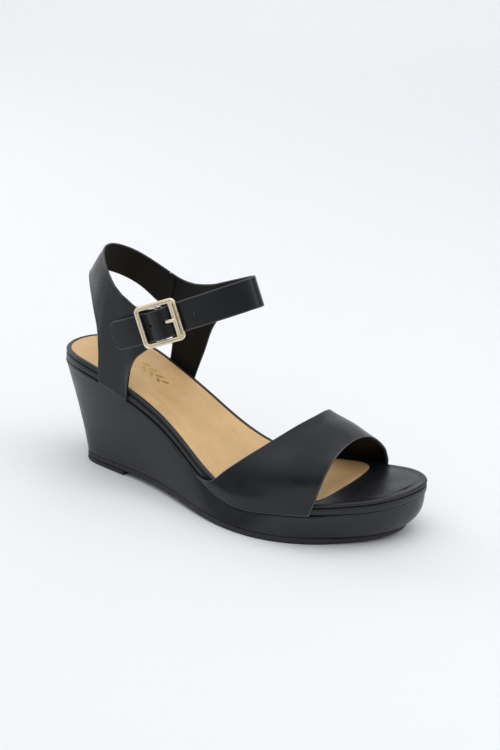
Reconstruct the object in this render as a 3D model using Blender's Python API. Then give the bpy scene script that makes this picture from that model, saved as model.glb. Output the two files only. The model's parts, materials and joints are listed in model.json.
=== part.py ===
"""Wedge sandal, right shoe, as an assembly of separate pieces.

Shapes are worked out in millimetres in the shoe's own coordinates: x runs from the back of the
heel seat to the toe, +y is the inner (medial) side of the foot, z is up from the ground. The
empty "sandal" moves everything so that the world origin is on the ground, in the middle of the
forefoot tread.
"""
import math

import bmesh
import bpy
import numpy as np
from mathutils import Matrix

MM = 0.001
GAP = 0.3                      # clearance between pieces that touch
TREAD_X, TREAD_Y = 172.0, -5.0  # middle of the flat forefoot tread

# Edge of the insole, seen from above, heel tip first, round the outer side to the toe and back
INSOLE_EDGE = [(-0.7, 0), (5, -15.6), (23, -27), (61, -29.5), (100, -31.5), (140, -41.5), (169, -44.5),
               (195, -41.5), (217, -31), (233, -14), (239.5, 5), (239, 23), (228.5, 34.8), (200, 39.7),
               (170, 41), (140, 36), (100, 26.5), (60, 26.5), (22, 26.3), (4, 16)]
# Edge of the wedge's underside
TREAD_EDGE = [(17, 0), (20, -11), (35, -17.5), (68, -23), (102, -33.7), (139, -46), (167, -47.4),
              (190, -39.8), (210, -25.2), (224.5, -10), (231, 3.5), (230, 17), (220, 27), (200, 33.6),
              (171, 35.4), (142, 31.6), (104, 24.8), (70, 22), (37, 20), (22, 11.5)]
RIM_POINTS = 48

# Heights along x
RIM_TOP = [(0, 70.9), (30, 69.8), (60, 61.3), (90, 47.2), (120, 29.4), (150, 20.8), (175, 23.5),
           (200, 27.1), (220, 29.8), (240, 31.8)]
WEDGE_UNDERSIDE = [(0, 6.4), (45, 6.4), (100, 6.5), (150, 3.9), (190, 4.1), (215, 4.4), (240, 6.6)]
TREAD = [(0, 3.0), (62, 3.0), (100, 2.4), (146, 0.0), (172, 0.0), (196, 0.0), (210, 0.8), (225, 2.2),
         (240, 4.6)]
FLAT_TREAD = (148, 196)        # stretch of the outsole that lies flat on the ground
TREAD_CHAMFER, TREAD_INSET = 0.8, 0.1
HEEL_LIFT_FRONT, HEEL_LIFT_HEIGHT = 54.0, 2.7

# Layers, measured down from the top of the rim
RIM_HEIGHT = 7.2
ROLL_HEIGHT = 4.2
COVER_DEPTH = 2.0              # underside of the insole's cover
BOARD = 2.6
BOARD_INSET, FOAM_INSET, RAND_INSET = 3.8, 2.3, 3.4
SOCK_TOP, SOCK_UNDER = -0.1, 0.6
WRAP = 0.9
UPPER_OFFSET = 0.5             # from the insole's edge to the uppers' reference surface
# Along x: how far the wedge stands out from the rim, and how far its wall curves in between its
# two edges, as a share of its overhang; at the toe the wall swells instead
WEDGE_MARGIN = [(0, -0.6), (25, -0.1), (60, 0.4), (200, 0.6), (236, -1.4)]
WALL_HOLLOW = [(0, 0.06), (195, 0.06), (226, -0.42)]
SOCK_INSET = 3.4
SOCK_FRONT = [(194.5, -36), (198.3, -29), (199.6, -14), (199.6, 6), (198.2, 22), (195.2, 31.5),
              (189.5, 36)]
SHANK_ENDS, SHANK_Y = (40, 136), -1.5
SHANK_HALF_WIDTH, SHANK_HEIGHT = 6.0, 1.4
GROOVE_DEPTH = 2.3             # the groove in the wedge that the shank lies in
RIVETS = {"rear": 52.0, "front": 122.0}
RIVET_RADIUS = 2.0

# Leather thicknesses of the uppers; the outer and the lining meet at a reference surface
OUTER = 0.9
LINING = 0.6
VAMP_BULGE = 2.2               # how far the toe band swells between its two edges

# The ankle strap is a band round an axis that leans back by STRAP_TILT
STRAP_TILT = math.radians(23.3)
BUCKLE_YAW = math.radians(21.0)
BUCKLE_A, BUCKLE_Y, BUCKLE_W = 120.1, -30.2, 64.4
FRAME_BACK, FRAME_FRONT, FRAME_HALF_W = -12.7, 13.2, 12.75
RAIL_WIDTH, FRONT_RAIL_WIDTH = 2.8, 1.8
RAIL_DEPTH = 2.0
RAIL_BEVEL = 0.6
OUTER_CORNER, INNER_CORNER = 3.4, 1.2   # radii of the frame's corners
BAR_RADIUS = 0.8
BAR_DROP = 2.4                 # the centre bar sits this far behind the frame's plane
LUG = 1.2                      # bend where the centre bar drops away from the frame
FRONT_BAR_S, FRONT_BAR_RADIUS = 9.7, 0.85    # bar just inside the front rail
ROLLER_RADIUS, ROLLER_BORE, ROLLER_HALF, ROLLER_BEVEL = 1.4, 1.1, 9.5, 0.15
PRONG_RADIUS = 0.85
HOLE_RADIUS = 2.05             # the hole in use, stretched by the prong
SPARE_HOLE_RADIUS = 0.9
HOLE_S, HOLE_W = 3.75, 0.0
HOLE_PITCH = 9.1
TAIL_HINGE_S, TAIL_HINGE_N = -13.6, -1.6   # the free end bends about its outer face
STRAP_REAR_N = -2.75           # middle of the strap behind the buckle
STRAP_HALF = {"tail": 8.7, "buckle": 8.7, "bend": 9.1}
STRAP_MID_W = 65.0
TAIL_ROUNDING = 6.0
TAB_THICKNESS, TAB_HALF_WIDTH = 0.8, 5.5
PRONG_SLOT_HALF = 1.4


# ---------------------------------------------------------------- curves

def spline(points, count, closed=False):
    """Evenly spaced points along a natural cubic spline through the given points."""
    pts = np.array(points, float)
    wrap = 4
    if closed:
        pts = np.vstack([pts[-wrap:], pts, pts[:wrap + 1]])
    t = np.concatenate([[0], np.cumsum(np.linalg.norm(np.diff(pts, axis=0), axis=1))])
    h = np.diff(t)
    n = len(pts)
    system = np.eye(n)
    right = np.zeros_like(pts)
    slope = np.diff(pts, axis=0) / h[:, None]
    for i in range(1, n - 1):
        system[i, i - 1:i + 2] = h[i - 1], 2 * (h[i - 1] + h[i]), h[i]
        right[i] = 6 * (slope[i] - slope[i - 1])
    bend = np.linalg.solve(system, right)
    ends = (t[wrap], t[-wrap - 1]) if closed else (t[0], t[-1])
    fine = np.linspace(*ends, 40 * n)
    k = np.clip(np.searchsorted(t, fine) - 1, 0, n - 2)
    a, b, hk = (t[k + 1] - fine)[:, None], (fine - t[k])[:, None], h[k][:, None]
    curve = (bend[k] * a ** 3 + bend[k + 1] * b ** 3) / (6 * hk) \
        + (pts[k] / hk - bend[k] * hk / 6) * a + (pts[k + 1] / hk - bend[k + 1] * hk / 6) * b
    return even(curve, count, closed)


def even(curve, count, closed=False):
    """count points at equal distances along a polyline."""
    s = np.concatenate([[0], np.cumsum(np.linalg.norm(np.diff(curve, axis=0), axis=1))])
    want = np.linspace(0, s[-1], count + 1)[:-1] if closed else np.linspace(0, s[-1], count)
    return np.column_stack([np.interp(want, s, c) for c in curve.T])


def height(stations):
    """z as a smooth function of x."""
    dense = spline(stations, 400)
    return lambda x: np.interp(x, dense[:, 0], dense[:, 1])


def inset(loop, distance):
    """A closed plan outline moved inwards."""
    ahead, behind = np.roll(loop, -1, axis=0), np.roll(loop, 1, axis=0)
    run = ahead - behind
    run /= np.linalg.norm(run, axis=1)[:, None]
    return loop + distance * np.column_stack([-run[:, 1], run[:, 0]])


rim_top = height(RIM_TOP)
wedge_under = height(WEDGE_UNDERSIDE)
INSOLE = spline(INSOLE_EDGE, RIM_POINTS, closed=True)
BOTTOM = spline(TREAD_EDGE, RIM_POINTS, closed=True)


def tread(x):
    """Underside of the outsole: flat under the ball, a little higher elsewhere."""
    flat = (x > FLAT_TREAD[0]) & (x < FLAT_TREAD[1])
    return np.where(flat, 0.0, np.maximum(np.interp(x, *zip(*TREAD)), 0.0))


def rim_ring(distance, drop):
    """The insole's outline moved inwards and set below the top of the rim."""
    flat = inset(INSOLE, distance)
    return np.column_stack([flat, rim_top(flat[:, 0]) - drop])


# ---------------------------------------------------------------- meshes

def material(name, colour, roughness, metallic=0.0):
    found = bpy.data.materials.get(name)
    if found:
        return found
    made = bpy.data.materials.new(name)
    made.use_nodes = True
    shader = made.node_tree.nodes["Principled BSDF"]
    shader.inputs["Base Color"].default_value = (*colour, 1.0)
    shader.inputs["Roughness"].default_value = roughness
    shader.inputs["Metallic"].default_value = metallic
    return made


LOOKS = {
    "outer_leather": ((0.018, 0.019, 0.021), 0.45),
    "lining": ((0.012, 0.012, 0.013), 0.65),
    "wrap": ((0.018, 0.019, 0.022), 0.42),
    "sock": ((0.68, 0.45, 0.25), 0.60),
    "rubber": ((0.015, 0.015, 0.016), 0.75),
    "board": ((0.35, 0.27, 0.18), 0.90),
    "foam": ((0.80, 0.78, 0.70), 0.90),
    "core": ((0.45, 0.36, 0.26), 0.80),
    "steel": ((0.55, 0.55, 0.56), 0.40, 1.0),
    "gold": ((0.80, 0.66, 0.42), 0.25, 1.0),
}


def add_object(name, verts, faces, look, parent, smooth=True):
    """One closed mesh object. Its points are in shoe millimetres, whatever its parent."""
    mesh = bpy.data.meshes.new(name)
    mesh.from_pydata([tuple(float(c) * MM for c in v) for v in verts], [], faces)
    work = bmesh.new()
    work.from_mesh(mesh)
    bmesh.ops.remove_doubles(work, verts=work.verts, dist=1e-7)
    bmesh.ops.recalc_face_normals(work, faces=work.faces)
    work.to_mesh(mesh)
    work.free()
    if smooth:
        mesh.shade_smooth()
        mesh.set_sharp_from_angle(angle=math.radians(40))
    mesh.materials.append(material(look, *LOOKS[look]))
    piece = bpy.data.objects.new(name, mesh)
    bpy.context.collection.objects.link(piece)
    piece.parent = parent
    piece.matrix_parent_inverse = parent_inverse(parent)
    return piece


def parent_inverse(parent):
    """Undoes a pivot's own place, so that the child's points stay in shoe millimetres."""
    if parent.parent is None:
        return Matrix.Identity(4)
    return parent.matrix_basis.inverted()


def side_faces(start_a, start_b, count):
    """Faces between two rings of count points, given where each ring's points start."""
    return [(start_a + i, start_a + (i + 1) % count, start_b + (i + 1) % count, start_b + i)
            for i in range(count)]


def cap_faces(start, count):
    """Strips across a ring, from one side to the other."""
    return [(start + i, start + i + 1, start + (count - i - 1) % count, start + (count - i) % count)
            for i in range(count // 2)]


def clean(faces):
    """Drops repeated corners, which turns the strips at the tips into triangles."""
    tidy = []
    for face in faces:
        corners = list(dict.fromkeys(face))
        if len(corners) > 2:
            tidy.append(tuple(corners))
    return tidy


def lofted(name, rings, look, parent):
    """A solid through stacked rings, closed at the first and the last."""
    count = len(rings[0])
    faces = cap_faces(0, count) + cap_faces((len(rings) - 1) * count, count)
    for k in range(len(rings) - 1):
        faces += side_faces(k * count, (k + 1) * count, count)
    return add_object(name, np.vstack(rings), clean(faces), look, parent)


def hoop(name, rings, look, parent):
    """A solid ring: the rings run once round its cross-section."""
    count = len(rings[0])
    faces = []
    for k in range(len(rings)):
        faces += side_faces(k * count, (k + 1) % len(rings) * count, count)
    return add_object(name, np.vstack(rings), faces, look, parent)


def grid_normals(grid):
    """Unit normals of a grid of points."""
    along = np.gradient(grid, axis=0)
    across = np.gradient(grid, axis=1)
    normal = np.cross(along, across)
    return normal / np.linalg.norm(normal, axis=2)[:, :, None]


def shell(name, grid, low, high, look, parent):
    """A sheet of leather between two offsets of a grid of points."""
    n, m = grid.shape[:2]
    normal = grid_normals(grid)
    verts = np.vstack([(grid + normal * low).reshape(-1, 3), (grid + normal * high).reshape(-1, 3)])
    faces = []
    for i in range(n - 1):
        for j in range(m - 1):
            a = i * m + j
            faces.append((a, a + 1, a + m + 1, a + m))
            faces.append(tuple(n * m + k for k in (a, a + m, a + m + 1, a + 1)))
    edge = [j for j in range(m)] + [i * m + m - 1 for i in range(1, n)]
    edge += [(n - 1) * m + j for j in range(m - 2, -1, -1)] + [i * m for i in range(n - 2, 0, -1)]
    for a, b in zip(edge, edge[1:] + edge[:1]):
        faces.append((a, b, b + n * m, a + n * m))
    return add_object(name, verts, faces, look, parent)


def leather_pair(name, grid, parent):
    """Outer and lining on the two sides of one surface, whose normal points outwards."""
    shell(name, grid, GAP / 2, GAP / 2 + OUTER, "outer_leather", parent)
    shell(name + "_lining", grid, -GAP / 2 - LINING, -GAP / 2, "lining", parent)


def cut(piece, cutter):
    """Cuts one object out of another with a Boolean modifier."""
    cutter.hide_render = True
    cutter.display_type = "WIRE"
    boolean = piece.modifiers.new("cut_" + cutter.name, "BOOLEAN")
    boolean.operation = "DIFFERENCE"
    boolean.object = cutter
    boolean.solver = "EXACT"


def ruled(lower, upper, rows, bulge=None):
    """Grid from the upper to the lower of two curves with as many points, bulged outwards."""
    t = np.linspace(1, 0, rows)[None, :, None]
    grid = lower[:, None, :] * (1 - t) + upper[:, None, :] * t
    if bulge is None:
        return grid
    return grid + grid_normals(grid) * bulge[:, None, None] * np.sin(math.pi * t)


def joined(*runs):
    """Curves end to end, each given by its points and how many steps it takes."""
    parts = [spline(points, steps + 1)[:-1] for points, steps in runs[:-1]]
    points, steps = runs[-1]
    return np.vstack(parts + [spline(points, steps + 1)])


# ---------------------------------------------------------------- sole unit

def wall_ring(share, margin=0.0):
    """Ring on the wedge's wall, from its underside (0) to its top (1)."""
    low = inset(BOTTOM, margin)
    stand_out = np.interp(INSOLE[:, 0], *zip(*WEDGE_MARGIN))
    top = inset(INSOLE, (margin - stand_out)[:, None])
    foot = np.column_stack([low, wedge_under(low[:, 0])])
    head = np.column_stack([top, rim_top(top[:, 0]) - RIM_HEIGHT])
    hollow = np.interp(BOTTOM[:, 0], *zip(*WALL_HOLLOW))
    plan_share = (share - hollow * math.sin(math.pi * share ** 0.7))[:, None]
    ring = foot + (head - foot) * share
    ring[:, :2] = foot[:, :2] + (head[:, :2] - foot[:, :2]) * plan_share
    return ring


def build_wedge(parent):
    shares = [0.0, 0.2, 0.4, 0.6, 0.8, 1.0]
    outer = [wall_ring(s) for s in shares]
    inner = [wall_ring(s, WRAP) for s in reversed(shares)]
    hoop("wedge_wrap", outer + inner, "wrap", parent)
    core = [wall_ring(s, WRAP + 2 * GAP) for s in shares]
    wedge = lofted("wedge_core", core, "core", parent)
    groove = shank_strip("shank_groove", SHANK_HALF_WIDTH + 1.0, -GROOVE_DEPTH, GROOVE_DEPTH, -RIM_HEIGHT,
                         parent)
    cut(wedge, groove)


def build_outsole(parent):
    """Thin rubber sole under the wedge, with a small chamfer round its tread."""
    edge = np.column_stack([BOTTOM, wedge_under(BOTTOM[:, 0]) - GAP])
    sole = np.column_stack([inset(BOTTOM, TREAD_CHAMFER), tread(BOTTOM[:, 0])])
    side = np.column_stack([inset(BOTTOM, TREAD_INSET), tread(BOTTOM[:, 0]) + TREAD_CHAMFER])
    lofted("outsole", [sole, side, edge], "rubber", parent)


def build_heel_lift(parent):
    """The part of the tread edge behind HEEL_LIFT_FRONT, with a straight front."""
    def heel_part(margin, z):
        loop = inset(BOTTOM, margin)
        half = len(loop) // 2
        outer = even(clipped(loop[:half]), 14)
        inner = even(clipped(np.vstack([loop[:1], loop[:half:-1]])), 14)
        ring = np.vstack([outer, inner[:0:-1]])
        return np.column_stack([ring, np.full(len(ring), z)])

    def clipped(run):
        behind = run[run[:, 0] < HEEL_LIFT_FRONT]
        ahead = run[len(behind)]
        share = (HEEL_LIFT_FRONT - behind[-1][0]) / (ahead[0] - behind[-1][0])
        return np.vstack([behind, behind[-1] + (ahead - behind[-1]) * share])

    lofted("heel_top_piece", [heel_part(TREAD_CHAMFER, 0.0), heel_part(TREAD_INSET, TREAD_CHAMFER),
                              heel_part(TREAD_INSET, HEEL_LIFT_HEIGHT)], "rubber", parent)


def shank_strip(name, half_width, low, high, offset, parent):
    """Strip along the middle of the shoe that follows the slope of the insole."""
    reach = half_width / 3
    x = np.linspace(SHANK_ENDS[0] - reach, SHANK_ENDS[1] + reach, 13)
    rings = []
    for station in x:
        z = float(rim_top(station)) + offset
        left, right = SHANK_Y - half_width, SHANK_Y + half_width
        rings.append([(station, left, z + low), (station, right, z + low),
                      (station, right, z + high), (station, left, z + high)])
    faces = [(0, 1, 2, 3), tuple(len(x) * 4 - k for k in (1, 2, 3, 4))]
    for k in range(len(x) - 1):
        faces += side_faces(4 * k, 4 * k + 4, 4)
    return add_object(name, np.vstack(rings), faces, "steel", parent, smooth=False)


def peg(name, x, low, high, radius, parent, sides=14):
    """Round pin square to the insole's slope; low and high are measured from the rim's top."""
    slope = math.atan(float(rim_top(x + 3) - rim_top(x - 3)) / 6)
    foot = np.array([x, SHANK_Y, float(rim_top(x))])
    along = np.array([math.cos(slope), 0, math.sin(slope)])
    side = np.array([0, 1, 0])
    up = np.array([-math.sin(slope), 0, math.cos(slope)])
    rings = []
    for level in (low * math.cos(slope), high * math.cos(slope)):
        rings.append([foot + up * level + radius * (along * math.cos(t) + side * math.sin(t))
                      for t in np.linspace(0, 2 * math.pi, sides, endpoint=False)])
    return lofted(name, rings, "steel", parent)


def build_insole(parent):
    """From the bottom up: shank and board with their rivets, foam, cover and sock."""
    board_low = -RIM_HEIGHT + GAP
    board_high = board_low + BOARD
    board = lofted("insole_board", [rim_ring(BOARD_INSET, -board_low), rim_ring(BOARD_INSET, -board_high)],
                   "board", parent)
    strip = shank_strip("shank", SHANK_HALF_WIDTH, -SHANK_HEIGHT, 0.0, board_low - GAP, parent)
    for name, x in RIVETS.items():
        peg("shank_rivet_" + name, x, board_low - SHANK_HEIGHT - 0.1, board_high - GAP, RIVET_RADIUS, parent)
        hole = peg("rivet_hole_" + name, x, -2 * RIM_HEIGHT, BOARD, RIVET_RADIUS + GAP, parent)
        cut(board, hole)
        cut(strip, hole)
    hoop("insole_rand", [rim_ring(0.9, RIM_HEIGHT - GAP), rim_ring(0.7, RIM_HEIGHT - 1.2),
                         rim_ring(1.1, ROLL_HEIGHT + GAP), rim_ring(RAND_INSET, ROLL_HEIGHT + GAP),
                         rim_ring(RAND_INSET, RIM_HEIGHT - GAP)], "wrap", parent)
    foam_low, foam_high = ROLL_HEIGHT - GAP, COVER_DEPTH + GAP
    lofted("footbed_foam", [rim_ring(FOAM_INSET, foam_low), rim_ring(FOAM_INSET, foam_high)],
           "foam", parent)
    lofted("insole_cover", [rim_ring(1.9, COVER_DEPTH), rim_ring(1.9, ROLL_HEIGHT),
                            rim_ring(1.3, ROLL_HEIGHT), rim_ring(0.7, 2.8), rim_ring(0.7, 1.4),
                            rim_ring(1.4, 0.3), rim_ring(2.4, 0.0), rim_ring(3.1, 0.3),
                            rim_ring(3.3, 0.9)], "outer_leather", parent)
    sock_edge = sock_outline()
    rings = [np.column_stack([sock_edge, rim_top(sock_edge[:, 0]) - drop])
             for drop in (SOCK_UNDER, SOCK_TOP)]
    lofted("sock_lining", rings, "sock", parent)


def sock_outline():
    """The insole's edge inset, ending in a gently curved front with rounded corners."""
    loop = inset(INSOLE, SOCK_INSET + GAP)
    outer = [p for p in loop[:RIM_POINTS // 2] if p[0] < 188]
    inner = [p for p in loop[RIM_POINTS // 2:] if p[0] < 184]
    return spline(outer + SOCK_FRONT + inner, RIM_POINTS, closed=True)


# ---------------------------------------------------------------- toe band

def rim_side(x, side):
    """Point of the uppers' reference surface beside the rim, on the outer (-1) or inner (1) side."""
    loop = inset(INSOLE, -UPPER_OFFSET)
    part = loop[(loop[:, 1] * side) >= 0]
    part = part[np.argsort(part[:, 0])]
    return np.array([x, np.interp(x, part[:, 0], part[:, 1]), float(rim_top(x)) - RIM_HEIGHT + 0.4])


VAMP_BACK = ([(131, -38.5, 27.5), (148, -36, 39), (164, -26, 52.6), (173.5, -14, 60.8),
              (179.8, -3, 65.5)],
             [(179.8, -3, 65.5), (179.5, 5, 65.2), (175.5, 16, 59.5), (166, 26.5, 49), (150, 33.4, 35.5),
              (138, 35.3, 28)])
VAMP_FRONT = ([(204.2, -40.6, 37), (206.8, -36.8, 48), (208, -26, 56.3), (208.6, -12, 59.2)],
              [(208.6, -12, 59.2), (208.6, 0, 57.6), (208, 12, 52.6), (206.8, 23, 45.6),
               (205, 33, 37.5)])


def patch(back, front, outer, inner):
    """Surface between four edges: straight across the band, bent along its feet to follow the rim."""
    u = np.linspace(0, 1, len(back))[:, None, None]
    v = np.linspace(0, 1, len(outer))[None, :, None]
    across = back[:, None] * (1 - v) + front[:, None] * v
    outer_bend = outer[None] - across[:1]
    inner_bend = inner[None] - across[-1:]
    return across + outer_bend * (1 - u) ** 3 + inner_bend * u ** 3


def above_rim(x, side):
    """Point level with the top of the rim, just outside it."""
    place = rim_side(x, side)
    return np.array([x, place[1], float(rim_top(x)) + 0.8])


def build_vamp(parent):
    half_rows, columns = 12, 7
    back = joined(([above_rim(124.5, -1)] + VAMP_BACK[0], half_rows),
                  (VAMP_BACK[1] + [above_rim(131, 1)], half_rows))
    front = joined(([above_rim(201, -1)] + VAMP_FRONT[0], half_rows),
                   (VAMP_FRONT[1] + [above_rim(203, 1)], half_rows))
    outer = np.array([above_rim(x, -1) for x in np.linspace(124.5, 201, columns)])
    inner = np.array([above_rim(x, 1) for x in np.linspace(131, 203, columns)])
    arch = patch(back, front, outer, inner)
    u = np.linspace(0, math.pi, len(arch))[:, None, None]
    v = np.linspace(0, math.pi, columns)[None, :, None]
    arch -= grid_normals(arch) * VAMP_BULGE * np.sin(u) * np.sin(v)
    outer_foot = np.array([rim_side(x, -1) for x in np.linspace(121.5, 198.7, columns)])
    inner_foot = np.array([rim_side(x, 1) for x in np.linspace(128.5, 201.7, columns)])
    grid = np.concatenate([outer_foot[None], arch, inner_foot[None]])
    leather_pair("vamp", grid[:, ::-1], parent)


# ---------------------------------------------------------------- quarters and heel band

def from_strap_frame(a, y, w):
    """Shoe coordinates of a point given along, beside and across the strap's band."""
    return np.array([a * math.cos(STRAP_TILT) - w * math.sin(STRAP_TILT), y,
                     a * math.sin(STRAP_TILT) + w * math.cos(STRAP_TILT)])


def from_buckle_plan(s, n):
    """Place in the strap's plan of a point s in front of the buckle's middle and n outside it."""
    return (BUCKLE_A + s * math.cos(BUCKLE_YAW) + n * math.sin(BUCKLE_YAW),
            BUCKLE_Y + s * math.sin(BUCKLE_YAW) - n * math.cos(BUCKLE_YAW))


def from_buckle(s, n, w=0.0):
    """Shoe coordinates from the buckle's own: s forwards, n outwards, w across the strap."""
    a, y = from_buckle_plan(s, n)
    return from_strap_frame(a, y, BUCKLE_W + w)


def build_lateral_quarter(parent):
    """Stem, wing to the buckle and heel band, ending at the seam on the inner side."""
    wing_low, wing_high = from_buckle(-5.5, -6.05, -7.5), from_buckle(-5.5, -6.05, 7.0)
    stem_front, stem_back = rim_side(62.5, -1), rim_side(42.5, -1)
    lower = joined(
        ([wing_low, (76.5, -28.6, 88.8), (70.7, -30.6, 83.3), (66, -31.2, 75.5), (64, -31, 66.5),
          stem_front], 10),
        ([stem_front, stem_back], 4),
        ([stem_back, (41.9, -30.2, 70), (41.6, -30.2, 84), (40, -29, 93), (36.2, -27, 101.7),
          (30, -21.8, 110), (20.5, -12, 117.5), (14.5, 0, 118.5), (17, 12, 115), (22, 20, 110.8),
          (30, 25.5, 105.2), (40.7, 28.6, 97)], 24))
    upper = joined(
        ([wing_high, (68.5, -28.3, 113.4), (62, -29.8, 116.8), (58, -30.4, 119.3)], 10),
        ([(58, -30.4, 119.3), (52, -29.5, 123.6)], 4),
        ([(52, -29.5, 123.6), (45, -26, 129), (36, -18, 134.4), (29.5, -9, 137), (26.8, 1, 136.8),
          (28.5, 10, 134), (33.5, 19, 129), (41.5, 25.8, 122.5), (50.6, 28.8, 117.1)], 24))
    grid = ruled(lower, upper, 6, np.interp(np.arange(len(lower)), [14, 22, 38], [0, 0.8, 0.4]))
    leather_pair("lateral_quarter", grid, parent)
    return grid


def medial_edges():
    """Lower and upper edge of the medial quarter, from the heel-band seam to the strap's join."""
    stem_back, stem_front = rim_side(53, 1), rim_side(71.5, 1)
    lower = joined(
        ([(41.5, 28.9, 96.4), (49, 29.3, 87.5), (53.6, 28.9, 78), (54.3, 28.3, 69), stem_back], 9),
        ([stem_back, stem_front], 3),
        ([stem_front, (76, 27.5, 66), (79.6, 27, 76), (83, 26, 85.5), (88.5, 24, 94.6),
          (96, 21.3, 102.8)], 10))
    upper = joined(
        ([(51.4, 29, 116.7), (58.6, 29.4, 114.2), (64, 28.7, 113.7)], 9),
        ([(64, 28.7, 113.7), (70, 27.4, 114)], 3),
        ([(70, 27.4, 114), (77.5, 25.4, 115.7), (88, 21.9, 119)], 10))
    return lower, upper


def build_medial_quarter(parent):
    lower, upper = medial_edges()
    grid = ruled(lower, upper, 6)
    leather_pair("medial_quarter", grid, parent)
    return grid


def strap_half_width(share):
    """Half the strap's width, from the medial join (0) to the tail's tip (1)."""
    return np.interp(share, [0, 0.35, 0.7, 1], [9.6, STRAP_HALF["bend"], STRAP_HALF["buckle"],
                                               STRAP_HALF["tail"]])


def strap_path():
    """Middle of the strap seen along its axis: medial join, bend, buckle, tail hinge."""
    local = [(22, -2.6), (15, -3.1), (12, -3.5), (9.6, -3.4), (7.3, -2.0), (5.0, 0.0), (2.7, 1.25),
             (0, 1.5), (-3.0, 0.75), (-5.6, -0.9), (-7.8, -2.3), (-10.2, -2.85),
             (TAIL_HINGE_S, STRAP_REAR_N)]
    before = [(129.5, 20.2), (140, 17.1), (153, 13.0), (163, 9.3), (169, 5.2), (171.4, -0.5),
              (169, -6.0), (163, -10.2), (153, -14.9)]
    return before + [from_buckle_plan(s, n) for s, n in local]


def band_grid(path, half_widths, rows):
    """Grid across a band: rows run from its lower to its upper edge."""
    across = np.linspace(-1, 1, rows)
    grid = np.zeros((len(path), rows, 3))
    for i, (a, y) in enumerate(path):
        for j, share in enumerate(across):
            grid[i, j] = from_strap_frame(a, y, STRAP_MID_W + share * half_widths[i])
    return grid


def build_strap(parent):
    """Ankle strap from the medial quarter round the front of the ankle and through the buckle."""
    path = spline(strap_path(), 48)
    halves = strap_half_width(np.linspace(0, 0.8, len(path)))
    grid = band_grid(path, halves, 5)
    shell("ankle_strap", grid[:, ::-1], GAP / 2, GAP / 2 + OUTER, "outer_leather", parent)
    shell("ankle_strap_lining", grid[:, ::-1], -GAP / 2 - LINING, -GAP / 2, "lining", parent)
    for name in ("ankle_strap", "ankle_strap_lining"):
        strap = bpy.data.objects[name]
        for step in (-1, 0, 1, 2):
            radius = HOLE_RADIUS if step == 0 else SPARE_HOLE_RADIUS
            place = HOLE_S + step * HOLE_PITCH
            cut(strap, hole_cutter(f"{name}_hole_{step + 1}", place, radius, parent))


def hole_cutter(name, s, radius, parent):
    """Round pin square to the buckle's plane."""
    angles = np.linspace(0, 2 * math.pi, 12, endpoint=False) + 0.13
    rings = [np.array([from_buckle(s + radius * math.cos(t), n, HOLE_W + radius * math.sin(t))
                       for t in angles]) for n in (-7, 7)]
    return lofted(name, rings, "steel", parent)


def build_tail(parent):
    """Free end of the strap: rounded tip, lying on the lateral quarter."""
    start = from_buckle_plan(TAIL_HINGE_S - GAP, STRAP_REAR_N)
    path = spline([start, (103.5, -33.3), (98.5, -34.2), (93, -34.6), (87.6, -34.7)], 16)
    length = np.linalg.norm(path - path[-1], axis=1)
    halves = []
    for distance in length:
        half = STRAP_HALF["tail"]
        if distance < TAIL_ROUNDING:
            drop = TAIL_ROUNDING - distance
            half -= TAIL_ROUNDING - math.sqrt(max(TAIL_ROUNDING ** 2 - drop ** 2, 0.25))
        halves.append(half)
    grid = band_grid(path, halves, 7)[:, ::-1]
    shell("strap_tail", grid, GAP / 2, GAP / 2 + OUTER, "outer_leather", parent)
    shell("strap_tail_lining", grid, -GAP / 2 - LINING, -GAP / 2, "lining", parent)


def build_seam_patch(band, quarter, parent):
    """Inner patch over the join of the heel band and the medial quarter."""
    grid = np.concatenate([band[-4:-1], quarter[1:4]])[:, 1:]
    inside = -GAP / 2 - LINING - GAP
    shell("seam_patch", grid, inside - LINING, inside, "lining", parent)


# ---------------------------------------------------------------- buckle

def sweep(path, section):
    """Rings of a section (pairs: sideways, along w) carried along a path of (s, n) points."""
    path = np.array(path, float)
    ahead = np.gradient(path, axis=0)
    ahead /= np.linalg.norm(ahead, axis=1)[:, None]
    rings = []
    for (s, n), (ds, dn) in zip(path, ahead):
        rings.append([(s - dn * side, n + ds * side, w) for side, w in section])
    return rings


def circle(radius, sides):
    angles = np.linspace(0, 2 * math.pi, sides, endpoint=False)
    return [(radius * math.cos(t), radius * math.sin(t)) for t in angles]


def buckle_points(points):
    """Buckle coordinates (s, n, w) to shoe millimetres."""
    return np.array([from_buckle(*p) for p in points])


def tube_rings(stations, radius, sides=12):
    """Round rings whose centres are (s, n, w) points on a path in the plane of n and w."""
    stations = np.array(stations, float)
    ahead = np.gradient(stations, axis=0)
    ahead /= np.linalg.norm(ahead, axis=1)[:, None]
    rings = []
    for (s, n, w), (_, dn, dw) in zip(stations, ahead):
        rings.append([(s + radius * math.cos(t), n - dw * radius * math.sin(t),
                       w + dn * radius * math.sin(t)) for t in np.linspace(0, 2 * math.pi, sides, False)])
    return rings


def solid_from_rings(name, rings, look, parent):
    count = len(rings[0])
    points = buckle_points([p for ring in rings for p in ring])
    faces = [tuple(range(count))[::-1], tuple((len(rings) - 1) * count + i for i in range(count))]
    for k in range(len(rings) - 1):
        faces += side_faces(k * count, (k + 1) * count, count)
    return add_object(name, points, faces, look, parent)


def rounded_rectangle(back, front, half_w, radius):
    """Rectangle with round corners in the frame's plane, as (s, w) points."""
    points = []
    for quarter in range(4):
        middle_s = front - radius if quarter in (0, 3) else back + radius
        middle_w = half_w - radius if quarter in (0, 1) else radius - half_w
        for t in np.linspace(0, math.pi / 2, 6) + quarter * math.pi / 2:
            points.append((middle_s + radius * math.cos(t), middle_w + radius * math.sin(t)))
    return np.array(points)


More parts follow.
